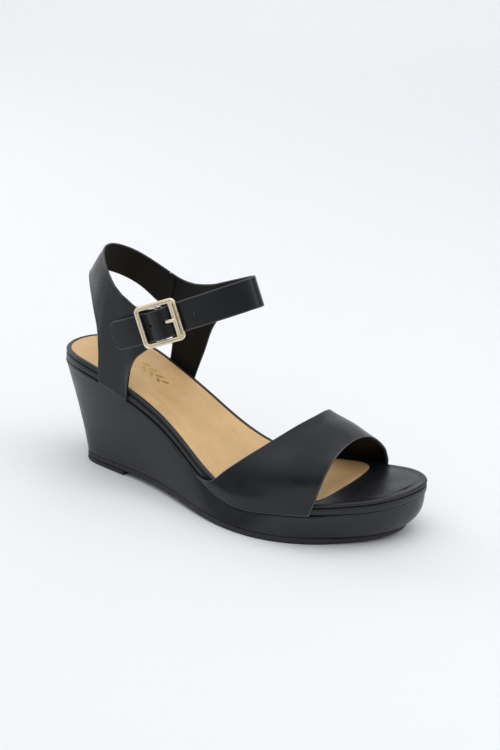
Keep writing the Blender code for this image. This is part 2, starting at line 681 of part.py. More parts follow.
def frame_rings():
    """The frame's chamfered rail, from its outer outline (0) to its inner one (1)."""
    outer = rounded_rectangle(FRAME_BACK, FRAME_FRONT, FRAME_HALF_W, OUTER_CORNER)
    inner = rounded_rectangle(FRAME_BACK + RAIL_WIDTH, FRAME_FRONT - FRONT_RAIL_WIDTH,
                              FRAME_HALF_W - RAIL_WIDTH, INNER_CORNER)
    half, edge = RAIL_DEPTH / 2, RAIL_BEVEL / RAIL_WIDTH
    low = half - RAIL_BEVEL
    section = [(0, -low), (edge, -half), (1 - edge, -half), (1, -low),
               (1, low), (1 - edge, half), (edge, half), (0, low)]
    return [buckle_points([(s, n, w) for s, w in outer + (inner - outer) * share])
            for share, n in section]


def centre_bar_path():
    """The centre bar runs from rail to rail, dropping behind the frame at both ends."""
    end = FRAME_HALF_W - RAIL_WIDTH / 2 - 0.1
    drop = [(0, -0.2, end), (0, LUG - BAR_DROP, end)]
    drop += [(0, LUG - BAR_DROP - LUG * math.sin(t), end - LUG + LUG * math.cos(t))
             for t in np.linspace(math.pi / 6, math.pi / 2, 3)]
    return drop + [(s, n, -w) for s, n, w in reversed(drop)]


def front_bar_path():
    end = FRAME_HALF_W - RAIL_WIDTH / 2
    return [(FRONT_BAR_S, 0, w) for w in (end, 0, -end)]


def build_buckle(parent):
    """Rectangular frame on its centre bar; the front bar carries the roller."""
    frame = hoop("buckle_frame", frame_rings(), "gold", parent)
    for name, stations, radius in (("centre_bar", centre_bar_path(), BAR_RADIUS),
                                   ("front_bar", front_bar_path(), FRONT_BAR_RADIUS)):
        pin = solid_from_rings(name, tube_rings(stations, radius), "gold", parent)
        join = frame.modifiers.new("join_" + name, "BOOLEAN")
        join.operation = "UNION"
        join.object = pin
        join.solver = "EXACT"
        pin.hide_render = True
        pin.display_type = "WIRE"


def build_roller(parent):
    """Sleeve that turns on the frame's front bar."""
    angles = np.linspace(0, 2 * math.pi, 20, endpoint=False)
    narrow, short = ROLLER_RADIUS - ROLLER_BEVEL, ROLLER_HALF - ROLLER_BEVEL
    section = [(ROLLER_BORE, -ROLLER_HALF), (narrow, -ROLLER_HALF), (ROLLER_RADIUS, -short),
               (ROLLER_RADIUS, short), (narrow, ROLLER_HALF), (ROLLER_BORE, ROLLER_HALF)]
    rings = [buckle_points([(FRONT_BAR_S + r * math.cos(t), r * math.sin(t), w) for t in angles])
             for r, w in section]
    hoop("buckle_roller", rings, "gold", parent)


def build_prong(parent):
    """Pin with an open eye round the centre bar; it rises through the strap's hole to the roller."""
    eye = BAR_RADIUS + 0.25 + PRONG_RADIUS
    path = [(eye * math.sin(t), -BAR_DROP + eye * math.cos(t)) for t in np.radians(np.linspace(-255, 15, 12))]
    path += [(2.5, -0.75), (3.9, 0.4), (5.2, 1.55), (6.8, 2.4), (8.8, 2.65), (10.8, 2.5)]
    rings = sweep(path, circle(PRONG_RADIUS, 10))
    solid_from_rings("buckle_prong", [[(s, n, w + HOLE_W) for s, n, w in ring] for ring in rings],
                     "gold", parent)


def build_tab(parent):
    """Leather loop round the centre bar, its two legs on the two sides of the wing."""
    loop = BAR_RADIUS + GAP + TAB_THICKNESS / 2
    path = [(-15.5, -4.15), (-12, -4.15), (-8, -4.15), (-5.2, -3.95), (-3.2, -2.3)]
    path += [(loop * math.sin(t), -BAR_DROP + loop * math.cos(t))
             for t in np.radians(np.linspace(-30, 190, 9))]
    path += [(-3.0, -5.1), (-5.6, -7.7), (-9, -8.2), (-13, -8.5)]
    smooth = spline(path, 40)
    section = [(side * TAB_THICKNESS / 2, w * TAB_HALF_WIDTH)
               for side, w in ((-1, -1), (1, -1), (1, 1), (-1, 1))]
    tab = solid_from_rings("buckle_tab", sweep(smooth, section), "outer_leather", parent)
    slot_outline = [(-3.4, -5.6), (4, -5.6), (4, 1), (-3.4, 1)]
    slot = [[(s, n, w) for s, n in slot_outline]
            for w in (HOLE_W - PRONG_SLOT_HALF, HOLE_W + PRONG_SLOT_HALF)]
    cut(tab, solid_from_rings("prong_slot", slot, "steel", parent))


# ---------------------------------------------------------------- assembly

def clear_scene():
    for piece in list(bpy.data.objects):
        bpy.data.objects.remove(piece, do_unlink=True)


def pivot(name, parent, place):
    """Empty on a joint's axis."""
    empty = bpy.data.objects.new(name, None)
    bpy.context.collection.objects.link(empty)
    empty.parent = parent
    empty.location = [float(c) * MM for c in place]
    return empty


def main():
    clear_scene()
    root = bpy.data.objects.new("sandal", None)
    bpy.context.collection.objects.link(root)
    root.location = (-TREAD_X * MM, -TREAD_Y * MM, 0)
    build_wedge(root)
    build_outsole(root)
    build_heel_lift(root)
    build_insole(root)
    build_vamp(root)
    band = build_lateral_quarter(root)
    quarter = build_medial_quarter(root)
    build_seam_patch(band, quarter, root)
    build_strap(root)
    build_tab(root)
    swing = pivot("buckle_pivot", root, from_buckle(0, -BAR_DROP))
    build_buckle(swing)
    roller = pivot("roller_pivot", root, from_buckle(FRONT_BAR_S, 0))
    build_roller(roller)
    prong = pivot("prong_pivot", root, from_buckle(0, -BAR_DROP))
    build_prong(prong)
    tail = pivot("tail_pivot", root, from_buckle(TAIL_HINGE_S, TAIL_HINGE_N))
    build_tail(tail)


main()
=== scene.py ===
"""Looks of the wedge sandal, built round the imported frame.

Shapes are worked out in the shoe's own millimetres: x runs from the back of the heel to the toe, +y is
the inner side of the foot and z is up from the ground. to_world() turns them into the frame's metres.
"""

import json
from math import cos, exp, pi, radians, sin, sqrt

import bmesh
import bpy
import numpy as np
from mathutils import Matrix, Vector
from mathutils.bvhtree import BVHTree


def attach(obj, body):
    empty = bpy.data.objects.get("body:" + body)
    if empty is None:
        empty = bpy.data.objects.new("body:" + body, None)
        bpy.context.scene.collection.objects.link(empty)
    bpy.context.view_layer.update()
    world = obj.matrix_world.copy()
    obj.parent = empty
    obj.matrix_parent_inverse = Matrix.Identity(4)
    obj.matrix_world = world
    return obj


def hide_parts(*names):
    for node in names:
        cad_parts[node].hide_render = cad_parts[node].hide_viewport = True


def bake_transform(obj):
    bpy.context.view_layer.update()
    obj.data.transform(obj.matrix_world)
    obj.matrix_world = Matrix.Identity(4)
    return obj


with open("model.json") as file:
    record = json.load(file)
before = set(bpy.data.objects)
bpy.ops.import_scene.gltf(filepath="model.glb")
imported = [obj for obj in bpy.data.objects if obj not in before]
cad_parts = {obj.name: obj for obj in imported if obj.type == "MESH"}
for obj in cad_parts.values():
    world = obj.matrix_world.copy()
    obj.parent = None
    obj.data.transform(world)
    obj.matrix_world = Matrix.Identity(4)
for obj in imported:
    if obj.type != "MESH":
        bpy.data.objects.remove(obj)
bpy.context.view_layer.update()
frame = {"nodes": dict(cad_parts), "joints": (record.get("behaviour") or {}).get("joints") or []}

MM = 0.001
MERGE = 2e-6  # metres; points closer than this are one
ORIGIN = np.array([172.0, -5.0, 0.0])  # the frame's origin in shoe millimetres
AROUND = 288  # points round each ring of the sole

# Edge of the insole seen from above, heel tip first, round the outer side to the toe and back
INSOLE_EDGE = [(-0.7, 0), (5, -15.6), (23, -27), (61, -29.5), (100, -31.5), (140, -41.5), (169, -44.5),
               (195, -41.5), (217, -31), (233, -14), (239.5, 5), (239, 23), (228.5, 34.8), (200, 39.7),
               (170, 41), (140, 36), (100, 26.5), (60, 26.5), (22, 26.3), (4, 16)]
# Edge of the wedge's underside
TREAD_EDGE = [(17, 0), (20, -11), (35, -17.5), (68, -23), (102, -33.7), (139, -46), (167, -47.4),
              (190, -39.8), (210, -25.2), (224.5, -10), (231, 3.5), (230, 17), (220, 27), (200, 33.6),
              (171, 35.4), (142, 31.6), (104, 24.8), (70, 22), (37, 20), (22, 11.5)]

# Heights along x
RIM_TOP = [(0, 70.9), (30, 69.8), (60, 61.3), (90, 47.2), (120, 29.4), (150, 20.8), (175, 23.5),
           (200, 27.1), (220, 29.8), (240, 31.8)]
WEDGE_UNDERSIDE = [(0, 6.4), (45, 6.4), (100, 6.5), (150, 3.9), (190, 4.1), (215, 4.4), (240, 6.6)]
TREAD = [(0, 3.0), (62, 3.0), (100, 2.4), (146, 0.0), (172, 0.0), (196, 0.0), (210, 0.8), (225, 2.2),
         (240, 4.6)]
HEEL_LIFT_FRONT, HEEL_LIFT_HEIGHT = 54.0, 2.7

RIM_HEIGHT = 7.2  # from the top of the rim to the top of the wedge
ROLL_HEIGHT = 2.7  # height of the padded roll at the insole's edge
WRAP = 0.9  # thickness of the cover round the wedge
UPPER_OFFSET = 0.5  # from the insole's edge to the uppers' reference surface
# Along x: how far the wedge stands out from the rim, and how far its wall curves in between its edges
WEDGE_MARGIN = [(0, -0.6), (25, -0.1), (60, 0.4), (200, 0.6), (236, -1.4)]
WALL_HOLLOW = [(0, 0.06), (195, 0.06), (226, -0.42)]
SOCK_INSET = 3.7
SOCK_FRONT = [(194.5, -36), (198.3, -29), (199.6, -14), (199.6, 6), (198.2, 22), (195.2, 31.5),
              (189.5, 36)]

OUTER_LOW, OUTER_HIGH = 0.03, 1.05  # outer leather, measured from the reference surface
LINING_LOW, LINING_HIGH = -0.75, -0.03
VAMP_BULGE = 2.2

STRAP_MID_W = 65.0  # middle of the strap, along the ankle
# Half widths of the strap
STRAP_HALF = {"tail": 8.7, "buckle": 8.9, "bend": 9.1, "join": 9.6}
# How far the strap lies above its middle line, along it: a little high at the bend, low in the buckle
STRAP_DRIFT = [(0, 0.0), (0.35, 1.0), (0.62, -0.4), (0.72, -1.3), (0.8, -1.2)]
HINGE_S, REAR_N = -13.6, -2.75  # where the strap's free end bends, in the buckle's own axes
BAR_DROP, FRONT_BAR_S = 2.4, 9.7  # the buckle's bars, from the middle of its plane
HOLE_S, HOLE_W, HOLE_PITCH = 3.75, 0.0, 9.1  # the hole in use, and the step to the next one
SPARE_HOLE_RADIUS = 0.8
FRAME_BACK, FRAME_FRONT, FRAME_HALF_W = -12.7, 13.2, 12.75
RAIL_WIDTH, FRONT_RAIL_WIDTH, RAIL_HALF_DEPTH = 2.8, 1.8, 1.0
OUTER_CORNER, INNER_CORNER = 3.4, 1.2
ROLLER_HALF, ROLLER_RADIUS, ROLLER_BORE = 9.5, 1.4, 1.1
BAR_RADIUS, FRONT_BAR_RADIUS, PRONG_RADIUS, LUG = 0.8, 0.85, 0.85, 1.2
PRONG_FLATTENING = 1.25  # the prong's width over its thickness


# ---------------- curves

def spline(points, count, closed=False):
    """Evenly spaced points along a natural cubic spline through the given points."""
    pts = np.array(points, float)
    wrap = 4
    if closed:
        pts = np.vstack([pts[-wrap:], pts, pts[:wrap + 1]])
    t = np.concatenate([[0], np.cumsum(np.linalg.norm(np.diff(pts, axis=0), axis=1))])
    h = np.diff(t)
    n = len(pts)
    system = np.eye(n)
    right = np.zeros_like(pts)
    slope = np.diff(pts, axis=0) / h[:, None]
    for i in range(1, n - 1):
        system[i, i - 1:i + 2] = h[i - 1], 2 * (h[i - 1] + h[i]), h[i]
        right[i] = 6 * (slope[i] - slope[i - 1])
    bend = np.linalg.solve(system, right)
    ends = (t[wrap], t[-wrap - 1]) if closed else (t[0], t[-1])
    fine = np.linspace(*ends, 60 * n)
    k = np.clip(np.searchsorted(t, fine) - 1, 0, n - 2)
    a, b, hk = (t[k + 1] - fine)[:, None], (fine - t[k])[:, None], h[k][:, None]
    curve = (bend[k] * a ** 3 + bend[k + 1] * b ** 3) / (6 * hk) \
        + (pts[k] / hk - bend[k] * hk / 6) * a + (pts[k + 1] / hk - bend[k + 1] * hk / 6) * b
    return even(curve, count, closed)


def even(curve, count, closed=False):
    """count points at equal distances along a polyline."""
    return at_shares(curve, np.linspace(0, 1, count, endpoint=not closed))


def at_shares(curve, shares):
    """Points at the given shares of a polyline's length."""
    s = np.concatenate([[0], np.cumsum(np.linalg.norm(np.diff(curve, axis=0), axis=1))])
    return np.column_stack([np.interp(np.asarray(shares) * s[-1], s, c) for c in curve.T])


def height(stations):
    """z as a smooth function of x."""
    dense = spline(stations, 400)
    return lambda x: np.interp(x, dense[:, 0], dense[:, 1])


def full_turn(count):
    """Angles evenly spaced once round."""
    return np.linspace(0, 2 * pi, count, endpoint=False)


def unit(vectors):
    """Vectors brought to length 1."""
    return vectors / np.maximum(np.linalg.norm(vectors, axis=-1, keepdims=True), 1e-9)


def inset(loop, distance):
    """A closed plan outline moved inwards."""
    run = unit(np.roll(loop, -1, axis=0) - np.roll(loop, 1, axis=0))
    return loop + distance * np.column_stack([-run[:, 1], run[:, 0]])


def smoothstep(low, high, x):
    """0 below low, 1 above high and smooth between them."""
    t = np.clip((x - low) / (high - low), 0, 1)
    return t * t * (3 - 2 * t)


rim_top = height(RIM_TOP)
wedge_under = height(WEDGE_UNDERSIDE)
tread_height = height(TREAD)
INSOLE = spline(INSOLE_EDGE, AROUND, closed=True)
BOTTOM = spline(TREAD_EDGE, AROUND, closed=True)


def at_height(outline, z):
    """A plan outline set at the given heights."""
    return np.column_stack([outline[:, :2], z])


def rim_ring(distance, drop):
    """The insole's outline moved inwards and set below the top of the rim."""
    flat = inset(INSOLE, distance)
    return at_height(flat, rim_top(flat[:, 0]) - drop)


def joined(*runs):
    """Curves end to end, each given by its points and how many steps it takes."""
    parts = [spline(points, steps + 1)[:-1] for points, steps in runs[:-1]]
    points, steps = runs[-1]
    return np.vstack(parts + [spline(points, steps + 1)])


# ---------------- the strap's and buckle's own axes

JOINTS = {j["name"]: j for j in frame["joints"]}


def shoe_point(joint):
    return np.array(JOINTS[joint]["pos_m"]) / MM + ORIGIN


ACROSS = np.array(JOINTS["buckle_swing"]["axis"])
ACROSS /= np.linalg.norm(ACROSS)
ALONG = np.array([ACROSS[2], 0, -ACROSS[0]])
BAR = shoe_point("buckle_swing")
REACH = shoe_point("roller_spin") - BAR  # from the centre bar to the front bar
TURNED = np.cross(ACROSS, REACH)
FORWARD = (FRONT_BAR_S * REACH + BAR_DROP * TURNED) / (FRONT_BAR_S ** 2 + BAR_DROP ** 2)
OUTWARD = (BAR_DROP * REACH - FRONT_BAR_S * TURNED) / (FRONT_BAR_S ** 2 + BAR_DROP ** 2)


def from_strap(a, y, w):
    """Shoe coordinates of a point given along, beside and across the strap's band."""
    return ALONG * a + np.array([0, y, 0]) + ACROSS * w


def from_buckle(s, n, w=0.0):
    """Shoe coordinates from the buckle's own: s forwards, n outwards, w across the strap."""
    return BAR + FORWARD * s + OUTWARD * (n + BAR_DROP) + ACROSS * w


def plan(s, n):
    """The strap's plan coordinates (a, y) of a point of the buckle."""
    point = from_buckle(s, n)
    return point @ ALONG, point[1]


# ---------------- meshes

def to_world(points):
    return (np.asarray(points, float) - ORIGIN) * MM


def placed(name, data):
    """A new object in the scene."""
    made = bpy.data.objects.new(name, data)
    bpy.context.scene.collection.objects.link(made)
    return made


def add_mesh(name, points, faces, look, edge_mm=None, sharp=40):
    """A smooth-shaded mesh object in the frame's metres. edge_mm: distance from the piece's edge."""
    mesh = bpy.data.meshes.new(name)
    mesh.from_pydata(to_world(points).tolist(), [], [tuple(int(k) for k in f) for f in faces])
    if edge_mm is not None:
        layer = mesh.attributes.new("edge_mm", "FLOAT", "POINT")
        layer.data.foreach_set("value", np.asarray(edge_mm, np.float32))
    work = bmesh.new()
    work.from_mesh(mesh)
    bmesh.ops.remove_doubles(work, verts=work.verts, dist=MERGE)
    bmesh.ops.dissolve_degenerate(work, edges=work.edges, dist=MERGE)
    bmesh.ops.recalc_face_normals(work, faces=work.faces)
    work.to_mesh(mesh)
    work.free()
    mesh.shade_smooth()
    mesh.set_sharp_from_angle(angle=radians(sharp))
    mesh.materials.append(look)
    return placed(name, mesh)


def show(piece, body, slot, *nodes):
    """Puts a piece on the body it rides on and hides the frame's parts it stands for; slot is not used."""
    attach(piece, body)
    if nodes:
        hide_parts(*nodes)


def grid_faces(start, rows, columns):
    """Faces of a grid whose points are numbered row by row from start."""
    corners = (start + i * columns + j for i in range(rows - 1) for j in range(columns - 1))
    return [(k, k + 1, k + columns + 1, k + columns) for k in corners]


def clean(faces):
    """Drops repeated corners, which turns strips at the tips into triangles."""
    tidy = [tuple(dict.fromkeys(face)) for face in faces]
    return [face for face in tidy if len(face) > 2]


def ring_faces(count, rings, closed):
    """Faces between rings of count points each, and from the last ring to the first if closed."""
    starts = [(k * count, (k + 1) % rings * count) for k in range(rings if closed else rings - 1)]
    return [(a + i, a + (i + 1) % count, b + (i + 1) % count, b + i) for a, b in starts for i in range(count)]


def end_faces(count, rings):
    """The two faces that close a stack of rings."""
    return [tuple(range(count))[::-1], tuple((rings - 1) * count + i for i in range(count))]


def hoop(name, rings, look):
    """A solid ring: the rings run once round its cross-section."""
    return add_mesh(name, np.vstack(rings), ring_faces(len(rings[0]), len(rings), True), look)


def chord_rows(ring, columns, lift):
    """Grid across a ring, from one side to the other. lift(points, share across) moves its heights."""
    half = len(ring) // 2
    left, right = ring[:half + 1], np.vstack([ring[:1], ring[:0:-1]])[:half + 1]
    share = np.linspace(0, 1, columns)
    grid = left[:, None] * (1 - share)[:, None] + right[:, None] * share[:, None]
    grid[:, :, 2] += lift(grid, share[None, :])
    return grid


def level(grid, share):
    """A lift of nothing: the cap stays flat across."""
    return 0.0


def capped(name, rings, look, lift, columns):
    """A solid through stacked rings; its last ring is filled by a gently shaped surface."""
    points, faces = np.vstack(rings), ring_faces(len(rings[0]), len(rings), False)
    for cap in (chord_rows(rings[-1], columns, lift), chord_rows(rings[0], 2, level)):
        faces += grid_faces(len(points), *cap.shape[:2])
        points = np.vstack([points, cap.reshape(-1, 3)])
    return add_mesh(name, points, clean(faces), look)


def grid_normals(grid):
    """Unit normals of a grid of points."""
    return unit(np.cross(np.gradient(grid, axis=0), np.gradient(grid, axis=1)))


def edge_distance(grid):
    """Distance of each grid point from the nearest of the four edges, in mm."""
    found = np.full(grid.shape[:2], 1e9)
    for axis in (0, 1):
        steps = np.linalg.norm(np.diff(grid, axis=axis), axis=2)
        zero = np.zeros_like(np.take(steps, [0], axis))
        run = np.concatenate([zero, np.cumsum(steps, axis=axis)], axis=axis)
        total = np.take(run, [-1], axis)
        found = np.minimum(found, np.minimum(run, total - run))
    return found


def boundary(n, m):
    """Grid indices once round the edge of an n by m grid."""
    edge = [(0, j) for j in range(m)] + [(i, m - 1) for i in range(1, n)]
    edge += [(n - 1, j) for j in range(m - 2, -1, -1)] + [(i, 0) for i in range(n - 2, 0, -1)]
    return edge


def outward_directions(grid):
    """Direction out of the sheet at each edge point, within the sheet."""
    n, m = grid.shape[:2]
    out = []
    for i, j in boundary(n, m):
        direction = np.zeros(3)
        for at_edge, next_in in ((i == 0, (1, j)), (i == n - 1, (-2, j)),
                                 (j == 0, (i, 1)), (j == m - 1, (i, -2))):
            if at_edge:
                direction += unit(grid[i, j] - grid[next_in])
        out.append(unit(direction))
    return np.array(out)


def panel(name, grid, low, high, look):
    """A sheet of leather between two offsets of a grid of points, with rounded edges."""
    n, m = grid.shape[:2]
    arc = 6  # steps round the edge
    radius = (high - low) / 2
    rows, columns = np.array(boundary(n, m)).T
    out = outward_directions(grid)
    normal = grid_normals(grid)
    base = grid.copy()
    base[rows, columns] -= out * radius
    centre = base[rows, columns] + normal[rows, columns] * (low + high) / 2
    turns = pi * np.arange(1, arc)[:, None, None] / arc
    rim = centre + radius * (out * np.sin(turns) - normal[rows, columns] * np.cos(turns))
    near, on_rim = edge_distance(grid).ravel(), np.zeros(rim[:, :, 0].size)
    points = [part.reshape(-1, 3) for part in (base + normal * low, base + normal * high, rim)]
    faces = grid_faces(0, n, m) + [f[::-1] for f in grid_faces(n * m, n, m)]
    first = rows * m + columns
    between = 2 * n * m + np.arange(on_rim.size).reshape(arc - 1, -1)
    loops = [first, *between, n * m + first]
    for a, b in zip(loops, loops[1:]):
        faces += zip(a, np.roll(a, -1), np.roll(b, -1), b)
    return add_mesh(name, np.vstack(points), faces, look, np.concatenate([near, near, on_rim]), sharp=60)


def trimmed(grid, margin):
    """The same surface with its edges cut back by so many mm."""
    for _ in range(2):
        cut = []
        for line in grid:
            total = np.linalg.norm(np.diff(line, axis=0), axis=1).sum()
            share = min(margin / total, 0.3)
            cut.append(at_shares(line, np.linspace(share, 1 - share, len(line))))
        grid = np.array(cut).transpose(1, 0, 2)
    return grid


def ruled(lower, upper, rows, bulge=None):
    """Grid from the upper to the lower of two curves with as many points, bulged outwards."""
    t = np.linspace(1, 0, rows)[None, :, None]
    grid = lower[:, None, :] * (1 - t) + upper[:, None, :] * t
    if bulge is None:
        return grid
    return grid + grid_normals(grid) * bulge[:, None, None] * np.sin(pi * t)


def eased(grid, rounds):
    """Relaxes a grid's inside towards an even surface, with its edges held."""
    grid = grid.copy()
    for _ in range(rounds):
        near = (grid[:-2, 1:-1] + grid[2:, 1:-1] + grid[1:-1, :-2] + grid[1:-1, 2:]) / 4
        grid[1:-1, 1:-1] += 0.8 * (near - grid[1:-1, 1:-1])
    return grid


def cut_holes(piece, cutters):
    """Cuts holes for good, so that no modifier stays on the piece."""
    for cutter in cutters:
        boolean = piece.modifiers.new("hole", "BOOLEAN")
        boolean.object = cutter
        boolean.solver = "EXACT"
    depsgraph = bpy.context.evaluated_depsgraph_get()
    cut = bpy.data.meshes.new_from_object(piece.evaluated_get(depsgraph))
    piece.modifiers.clear()
    piece.data = cut
    cut.shade_smooth()
    cut.set_sharp_from_angle(angle=radians(50))
    for cutter in cutters:
        bpy.data.objects.remove(cutter)


# ---------------- materials

MIX_A, MIX_B, MIX_OUT = 6, 7, 2  # a Mix node's colour sockets


def node(tree, kind, values=None, **properties):
    """A shader node with its settings and unlinked inputs."""
    made = tree.nodes.new(kind)
    for key, value in properties.items():
        setattr(made, key, value)
    for key, value in (values or {}).items():
        made.inputs[key].default_value = value
    return made


def link(tree, source, output, target, socket):
    """Joins an output of one node to a socket of another."""
    tree.links.new(source.outputs[output], target.inputs[socket])


def start_material(name, roughness, metallic=0.0):
    """A material with its node tree, its shader and its place in millimetres."""
    material = bpy.data.materials.new(name)
    material.use_nodes = True
    tree = material.node_tree
    shader = tree.nodes["Principled BSDF"]
    shader.inputs["Roughness"].default_value = roughness
    shader.inputs["Metallic"].default_value = metallic
    place = node(tree, "ShaderNodeMapping", {"Scale": (1 / MM, 1 / MM, 1 / MM)})
    link(tree, node(tree, "ShaderNodeTexCoord"), "Object", place, "Vector")
    return material, tree, shader, place


def noise(tree, place, size, detail=3.0, roughness=0.5, stretch=None):
    """Noise with features about size mm across, stretched along an axis if wanted."""
    made = node(tree, "ShaderNodeTexNoise", {"Scale": 1.0 / size, "Detail": detail, "Roughness": roughness})
    if stretch:
        unstretched, place = place, node(tree, "ShaderNodeMapping", {"Scale": stretch})
        link(tree, unstretched, "Vector", place, "Vector")
    link(tree, place, "Vector", made, "Vector")
    return made


def mapped(tree, source, output, low, high, to_low, to_high):
    """An output's range from low to high, brought to another range."""
    made = node(tree, "ShaderNodeMapRange", {"From Min": low, "From Max": high, "To Min": to_low,
                                             "To Max": to_high})
    link(tree, source, output, made, "Value")
    return made


def bump(tree, source, output, depth_mm, under=None):
    """Relief of the given depth, on top of another one if given."""
    made = node(tree, "ShaderNodeBump", {"Strength": 1.0, "Distance": depth_mm * MM})
    link(tree, source, output, made, "Height")
    if under:
        link(tree, under, "Normal", made, "Normal")
    return made


def mixed_colour(tree, source, output, dark, light):
    """Colour between two others, by a source from 0 to 1."""
    made = node(tree, "ShaderNodeMix", {MIX_A: (*dark, 1), MIX_B: (*light, 1)}, data_type="RGBA")
    link(tree, source, output, made, "Factor")
    return made


def overlaid(tree, base, share, colour):
    """A mixed colour with another one laid over it."""
    made = node(tree, "ShaderNodeMix", {MIX_B: (*colour, 1)}, data_type="RGBA")
    link(tree, base, MIX_OUT, made, MIX_A)
    link(tree, share, "Result", made, "Factor")
    return made


def uneven_roughness(tree, source, low, high, shader):
    rough = mapped(tree, source, "Fac", 0.3, 0.7, low, high)
    link(tree, rough, "Result", shader, "Roughness")


def dress(tree, shader, colour, relief):
    """Gives a shader its colour and the relief of its surface."""
    link(tree, colour, MIX_OUT, shader, "Base Color")
    link(tree, relief, "Normal", shader, "Normal")


def black_leather(name, dark, light, roughness, specular, grain_mm, grain_depth, wave_depth, edge=None):
    """Smooth dyed leather: fine pebbled grain, uneven dye and polish, and lighter edges: edge paint plus
    painted highlight.
    """
    material, tree, shader, place = start_material(name, roughness)
    shader.inputs["Specular IOR Level"].default_value = specular
    colour = mixed_colour(tree, noise(tree, place, 22, 4), "Fac", dark, light)
    # lighter colour on the rounded edges: partly the edge paint, partly a painted highlight where the edges
    # catch light
    if edge:
        distance = node(tree, "ShaderNodeAttribute", attribute_name="edge_mm")
        colour = overlaid(tree, colour, mapped(tree, distance, "Fac", 0.15, 0.9, 1.0, 0.0), edge)
    uneven_roughness(tree, noise(tree, place, 9, 3), roughness - 0.05, roughness + 0.06, shader)
    cells = node(tree, "ShaderNodeTexVoronoi", {"Scale": 1.0 / grain_mm})
    link(tree, place, "Vector", cells, "Vector")
    wave = bump(tree, noise(tree, place, 14, 2), "Fac", wave_depth)
    pores = bump(tree, noise(tree, place, 0.35, 3, 0.6), "Fac", grain_depth * 0.6, under=wave)
    dress(tree, shader, colour, bump(tree, cells, "Distance", grain_depth, under=pores))
    return material


def tan_sock():
    """Natural leather: pores, mottling and soft creases that run along the foot."""
    material, tree, shader, place = start_material("tan_sock_leather", 0.55)
    mottle = noise(tree, place, 16, 5, 0.55)
    tone = mapped(tree, mottle, "Fac", 0.3, 0.7, 0.0, 1.0)
    base = mixed_colour(tree, tone, "Result", (0.67, 0.42, 0.185), (0.78, 0.51, 0.245))
    fleck = mapped(tree, noise(tree, place, 0.8, 2, 0.6), "Fac", 0.35, 0.75, 0.0, 0.12)
    uneven_roughness(tree, mottle, 0.48, 0.62, shader)
    crease = bump(tree, noise(tree, place, 9, 3, 0.5, stretch=(0.16, 1, 0.3)), "Fac", 0.5)
    pores = bump(tree, noise(tree, place, 0.5, 3, 0.6), "Fac", 0.03, under=crease)
    dress(tree, shader, overlaid(tree, base, fleck, (0.42, 0.25, 0.11)), pores)
    return material


def pale_gold():
    """Satin plating, slightly uneven and worn."""
    material, tree, shader, place = start_material("pale_gold_plating", 0.28, 1.0)
    base = mixed_colour(tree, noise(tree, place, 3, 3), "Fac", (0.93, 0.80, 0.58), (0.98, 0.90, 0.72))
    uneven_roughness(tree, noise(tree, place, 2.5, 2), 0.32, 0.42, shader)
    dress(tree, shader, base, bump(tree, noise(tree, place, 4, 1), "Fac", 0.006))
    return material


def rubber():
    """Matt black sole rubber with a fine moulded texture."""
    material, tree, shader, place = start_material("sole_rubber", 0.62)
    cloud = noise(tree, place, 8, 4)
    base = mixed_colour(tree, cloud, "Fac", (0.012, 0.012, 0.013), (0.022, 0.022, 0.024))
    uneven_roughness(tree, cloud, 0.55, 0.72, shader)
    dress(tree, shader, base, bump(tree, noise(tree, place, 0.4, 2, 0.6), "Fac", 0.05))
    return material


def plain_grain(name, dark, light, roughness, size, depth, metallic=0.0, stretch=None):
    """Speckled material for the hidden pieces and the foil."""
    material, tree, shader, place = start_material(name, roughness, metallic)
    speck = noise(tree, place, size, 4, 0.65, stretch)
    dress(tree, shader, mixed_colour(tree, speck, "Fac", dark, light), bump(tree, speck, "Fac", depth))
    return material


# edge: the lighter edge colour, partly edge paint and partly painted highlight
UPPER = black_leather("upper_leather", (0.0045, 0.005, 0.006), (0.0075, 0.0085, 0.0105), 0.31, 0.40, 0.55,
                      0.02, 0.06, edge=(0.05, 0.053, 0.06))
SOLE_BLACKS = (0.006, 0.0066, 0.008), (0.010, 0.011, 0.013)
WRAP_LEATHER = black_leather("wedge_leather", *SOLE_BLACKS, 0.34, 0.45, 0.6, 0.015, 0.10)
INSOLE_LEATHER = black_leather("insole_leather", *SOLE_BLACKS, 0.38, 0.45, 0.55, 0.02, 0.10)
LINING = black_leather("lining_leather", (0.004, 0.004, 0.0042), (0.0065, 0.0063, 0.0062), 0.60, 0.2, 0.7,
                       0.03, 0.08)
SOCK = tan_sock()
GOLD = pale_gold()
FOIL = plain_grain("gold_foil", (0.45, 0.31, 0.06), (0.66, 0.48, 0.14), 0.4, 1.2, 0.01, 0.45)
RUBBER = rubber()
HIDDEN = {
    "wedge_core": plain_grain("cork_composite", (0.30, 0.20, 0.11), (0.52, 0.38, 0.22), 0.85, 2.0, 0.2),
    "insole_board": plain_grain("fibre_board", (0.30, 0.24, 0.16), (0.42, 0.34, 0.24), 0.9, 0.8, 0.05),
    "footbed_foam": plain_grain("latex_foam", (0.72, 0.69, 0.60), (0.84, 0.82, 0.74), 0.9, 0.6, 0.1),
    "shank": plain_grain("rolled_steel", (0.42, 0.42, 0.43), (0.60, 0.60, 0.61), 0.38, 1.5, 0.01, 1.0,
                         (0.1, 1, 1)),
}
for rivet in ("shank_rivet_front", "shank_rivet_rear"):
    HIDDEN[rivet] = HIDDEN["shank"]


# ---------------- sole unit

def wall_ring(share, margin=0.0):
    """Ring on the wedge's wall, from its underside (0) to its top (1)."""
    low = inset(BOTTOM, margin)
    stand_out = np.interp(INSOLE[:, 0], *zip(*WEDGE_MARGIN))
    top = inset(INSOLE, (margin - stand_out)[:, None])
    foot = at_height(low, wedge_under(low[:, 0]))
    head = at_height(top, rim_top(top[:, 0]) - RIM_HEIGHT)
    hollow = np.interp(BOTTOM[:, 0], *zip(*WALL_HOLLOW))
    plan_share = (share - hollow * sin(pi * share ** 0.7))[:, None]
    ring = foot + (head - foot) * share
    ring[:, :2] = foot[:, :2] + (head[:, :2] - foot[:, :2]) * plan_share
    return ring


